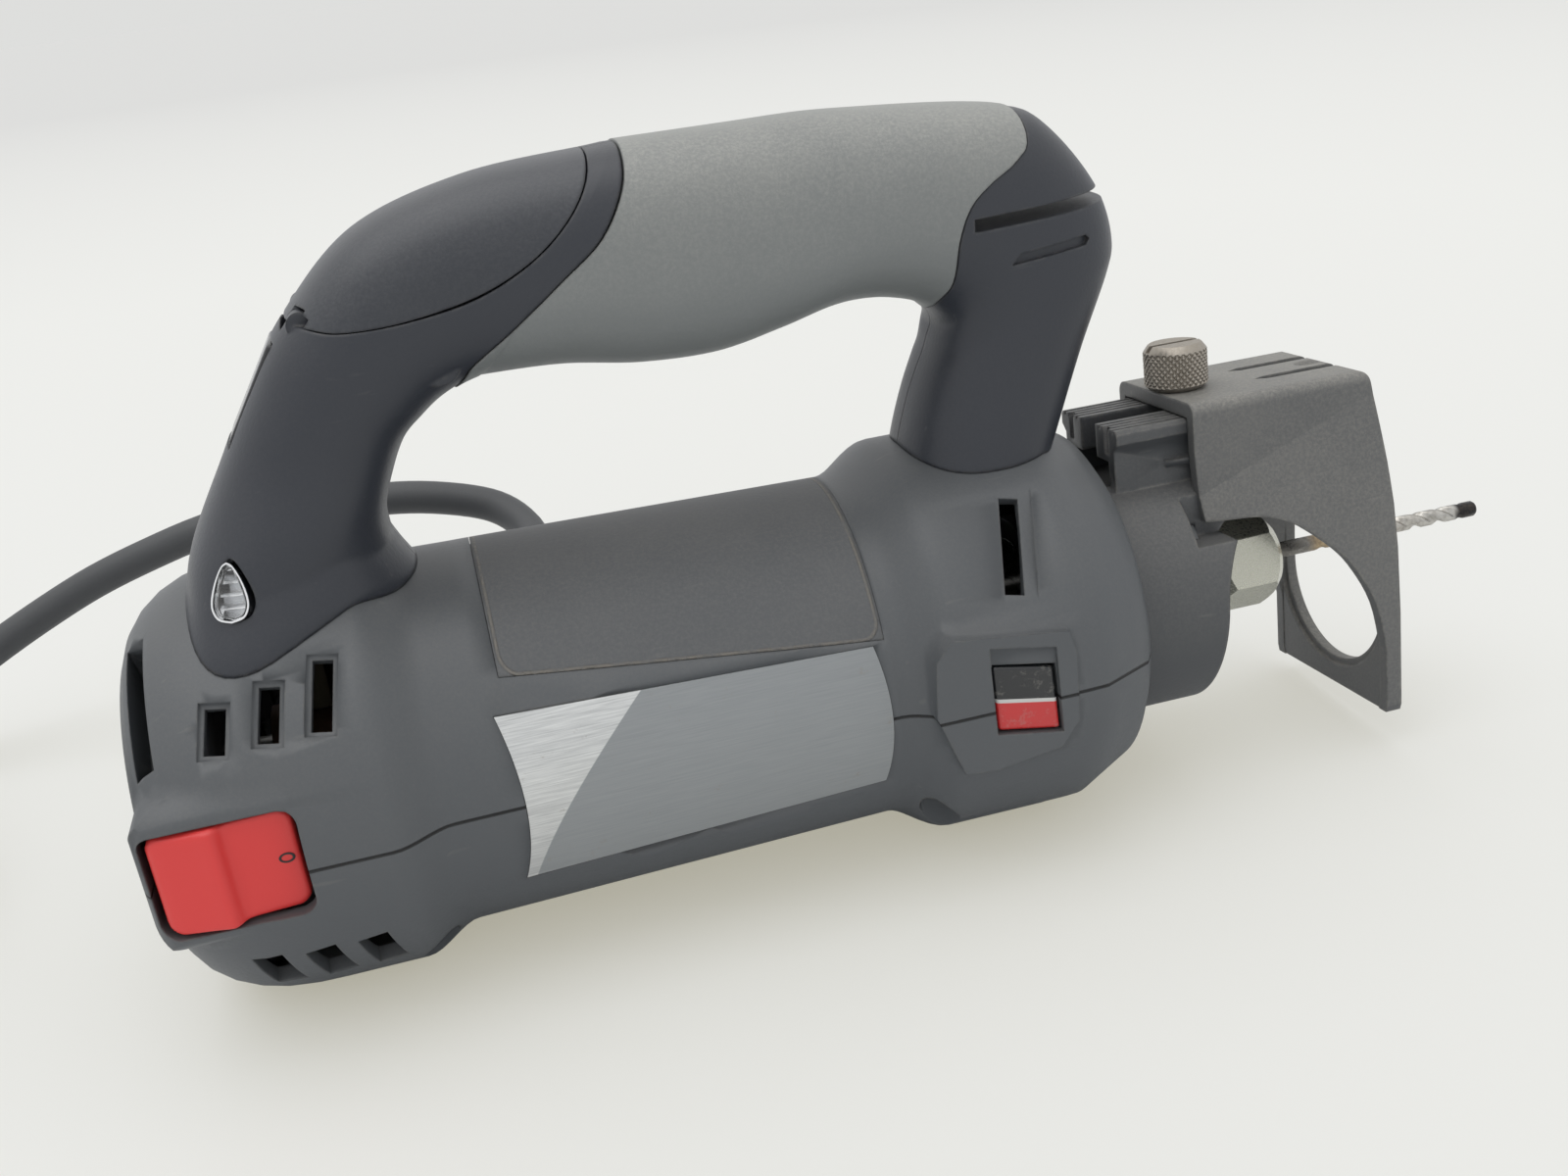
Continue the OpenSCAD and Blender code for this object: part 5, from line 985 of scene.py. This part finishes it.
def foot_outline(inset):
    """A wide bar with the foot's outline as seen from the side; the inset moves it back and up a little."""
    line = [in_guide(FOOT_X + x * FOOT_LEN - inset, -40, FOOT_LOW + z * FOOT_H + inset) for x, z in FOOT_SIDE]
    return prism(line, in_guide(0, 80, 0) - in_guide(0, 0, 0))


shoe = surface(16, len(foot_ring(FOOT_X)) - 1, foot_point)
front = foot_wall(FOOT_END - 2, 2.0)
plate = guide_bar(front + [(-y, z) for y, z in front[::-1]], FOOT_END - 3, FOOT_END + 0.5)
plate = carve(plate, guide_bar(eye(0), 200, 240))
plate = carve(plate, guide_bar(eye(1.3), FOOT_END - 4, FOOT_END - 2.2))
lintel = guide_bar([(-14.8, 19.4), (14.8, 19.4), (13.6, 35.7), (-13.6, 35.7)], FOOT_END - 6.5, FOOT_END - 1)
plate = carve(carve(plate, lintel, "UNION"), foot_outline(0.15), "INTERSECT")
shoe = carve(shoe, foot_outline(0), "INTERSECT")
for y in (-5, 5):
    slot = [(211, y), (213.5, y - 1.1), (240, y - 1.3), (240, y + 1.3), (213.5, y + 1.1)]
    shoe = carve(shoe, prism([in_guide(x, w, 35.9) for x, w in slot], in_guide(0, 0, 4) - in_guide(0, 0, 0)))
up = in_guide(0, 0, 1) - in_guide(0, 0, 0)
dimple = lathe([(0, -0.9), (1.2, -0.8), (1.9, 0), (1.9, 2), (0, 2)], Vector(), up, 32)
bmesh.ops.scale(dimple, vec=(1.6, 1, 1), verts=dimple.verts)
bmesh.ops.translate(dimple, vec=in_guide(225.5, 0, FOOT_TOP), verts=dimple.verts)
shoe = carve(shoe, dimple)
SCREW_X, SCREW_Z, HEAD_R = 197.3, 37.4, 6.0
shoe = carve(shoe, lathe([(0, -4), (2.6, -4), (2.6, 4), (0, 4)], in_guide(SCREW_X, 0, 36), up, 32))
shoe = carve(shoe, plate, "UNION")
put("guide_shoe", shoe, guide_finish, "slider", ["guide_foot"], 6.5)

# %% [markdown]
# The screw that holds the foot gets the crossed grooves of a knurl: a grid is bent round the head, and
# every point sinks where one of two families of slanting lines passes.

# %% Thumbscrew
HEAD = [(0, 0.0), (4.9, 0.0), (5.3, 0.25), (5.9, 0.9)] + [(HEAD_R, 1.0 + 6.2 * i / 30) for i in range(31)]
HEAD += [(5.9, 7.4), (5.1, 8.5), (4.8, 8.7), (0, 8.7)]


def knurl_point(u, v):
    r, h = HEAD[int(round(u * (len(HEAD) - 1)))]
    if r == HEAD_R:
        lines = [abs(((30 * v + s * (h - 1) / 1.25) % 1) - 0.5) for s in (-1, 1)]
        r -= 0.42 * max(0.0, 1 - min(lines) / 0.24)
    return in_guide(SCREW_X + r * cos(2 * pi * v), r * sin(2 * pi * v), SCREW_Z + h)


head = surface(len(HEAD) - 1, 240, knurl_point)
groove = [(-0.65, 44.9), (0.65, 44.9), (0.65, 49), (-0.65, 49)]
head = carve(head, guide_bar(groove, SCREW_X - 9, SCREW_X + 9))
stem_line = [(0, -12.5), (2.4, -12.5), (2.5, -12.2), (2.5, 0.5), (0, 0.5)]
stem = lathe(stem_line, in_guide(SCREW_X, 0, SCREW_Z), up, 32)
put("thumbscrew", joined(head, stem), screw_finish, "thumbscrew", ["guide_thumbscrew"], 28)

# %% [markdown]
# The bit is a grid bent into a rod. Where its flutes run, two hollows turn about the axis as the share
# along grows, which is simpler and finer than twisting a bar. The nut keeps its solid's shape.

# %% Spiral bit and nut
BIT_R, FLUTE_FROM, FLUTE_LEN = 1.6, 225, 35
BIT_TIP = {262.4: 1.6, 262.8: 1.35, 263: 1.0}
BIT_ROWS = [194] + [209 + i for i in range(16)] + [FLUTE_FROM + FLUTE_LEN * i / 140 for i in range(141)]
BIT_ROWS += [260.3] + list(BIT_TIP)


def bit_point(u, v):
    x = BIT_ROWS[int(round(u * (len(BIT_ROWS) - 1)))]
    a = 2 * pi * v
    r = BIT_TIP.get(x, BIT_R)
    if FLUTE_FROM <= x <= FLUTE_FROM + FLUTE_LEN:
        turn_a = 2 * pi * 3.2 * (x - FLUTE_FROM) / FLUTE_LEN
        depth = smooth((x - FLUTE_FROM) / 4) * smooth((260.2 - x) / 1.5)
        r -= 0.62 * depth * max(0.0, cos(2 * (a - turn_a))) ** 0.8
    return at(x, r * cos(a), r * sin(a))


put("bit", surface(len(BIT_ROWS) - 1, 40, bit_point), bit_steel, "rotor", ["spiral_bit"], 40)
keep("nut", "collet_nut", zinc_finish, "nut", 14)

# %% [markdown]
# What stays as a plain solid sits inside the housing or is a small fastener. Each still gets the finish
# of what it is made of, because the windows and the open cover let some of it be seen.

# %% Inner pieces
INNER = (
    (steel_finish, ("housing_screws", "handle_screws", "lock_spring", "spindle", "rear_bearing",
                    "front_bearing", "collet", "guide_clamp_nut")),
    (iron_finish, ("rotor_core", "field_core")),
    (copper_finish, ("rotor_windings", "field_coils", "commutator")),
    (holder_finish, ("brush_holders",)),
    (brass_finish, ("plug_blades",)),
    (carbon_finish, ("carbon_brushes",)),
    (dark_finish, ("switch_body", "cooling_fan", "cord_clamp")))
for finish, names in INNER:
    for name in names:
        for place in NODES[name].material_slots:
            place.material = finish
print(sum(len(names) for finish, names in INNER), "inner pieces finished")

# %% [markdown]
# The tool lies on a pale sweep in light that comes from all round, with one large soft light overhead,
# which is what the faint shadow close under it shows. What mirrors see gets brighter towards the top.
# The floor as the camera sees it is partly plain colour, so the shadow stays as light as in the photo.

# %% Floor and light
FLOOR_R, FLOOR_GAP, PLAIN_SHARE = 9, 0.0003, 0.45
floor_mat, tree, shader = empty_finish("floor", Roughness=0.9, Specular_IOR_Level=0.1)
away = add(tree, "VectorMath", {"operation": "LENGTH"})
link(tree, add(tree, "TexCoord"), "Object", away, 0)
# The floor darkens with distance from the tool: painted falloff of light.
far_painted_falloff = spread(tree, away, "Value", 0.7, 2.6)
ray = add(tree, "LightPath")
# The camera sees a bluer floor under a warm plain colour, so the lit floor looks neutral and its shadow warm:
# painted warmth of shade.
near_tone_for_warm_shade = blend(tree, (ray, "Is Camera Ray"), (0.81, 0.81, 0.79), (0.81, 0.845, 0.93))
link(tree, blend(tree, far_painted_falloff, (near_tone_for_warm_shade, 2), (0.70, 0.72, 0.78)), 2, shader, "Base Color")
plain_warm_shade_glow = add(tree, "Emission")
link(tree, blend(tree, far_painted_falloff, (0.87, 0.83, 0.66), (0.73, 0.705, 0.60)), 2, plain_warm_shade_glow, "Color")
lift = add(tree, "MixShader")
link(tree, maths(tree, "MULTIPLY", (ray, "Is Camera Ray"), PLAIN_SHARE), 0, lift, 0)
link(tree, shader, 0, lift, 1)
link(tree, plain_warm_shade_glow, 0, lift, 2)
link(tree, lift, 0, tree.nodes["Material Output"], "Surface")
disc = bmesh.new()
bmesh.ops.create_circle(disc, cap_ends=True, segments=96, radius=FLOOR_R)
bmesh.ops.translate(disc, verts=disc.verts, vec=(0, 0, -FLOOR_GAP))
floor_mesh = bpy.data.meshes.new("floor")
disc.to_mesh(floor_mesh)
disc.free()
floor_mesh.materials.append(floor_mat)
floor = show("floor", floor_mesh)

sun = show("soft_light", bpy.data.lights.new("soft_light", "SUN"))
sun.data.energy = 0.8
sun.data.angle = radians(60)
sun.rotation_euler = Vector((-0.22, 0.02, 1.0)).to_track_quat("Z", "Y").to_euler()
world = bpy.data.worlds.new("studio")
bpy.context.scene.world = world
world.use_nodes = True
tree = world.node_tree
ray = add(tree, "LightPath")
height = add(tree, "SeparateXYZ")
link(tree, add(tree, "TexCoord"), "Generated", height, 0)
ceiling = blend(tree, spread(tree, height, "Z", 0.0, 0.9), (0.72, 0.73, 0.74), (1.05, 1.05, 1.05))
mirrored = maths(tree, "MAXIMUM", (ray, "Is Glossy Ray"), (ray, "Is Transmission Ray"))
seen = blend(tree, mirrored, (0.79, 0.795, 0.80), (ceiling, 2))
seen = blend(tree, (ray, "Is Camera Ray"), (seen, 2), (0.7312, 0.7342, 0.7217))
link(tree, seen, 2, tree.nodes["Background"], "Color")
tree.nodes["Background"].inputs["Strength"].default_value = 1.0
bpy.context.scene.view_settings.view_transform = "Standard"
print("floor", 2 * FLOOR_R, "m across, one soft light")

# %% [markdown]
# The view layer is brought up to date, which closes the scene.

# %% Close the scene
bpy.context.view_layer.update()
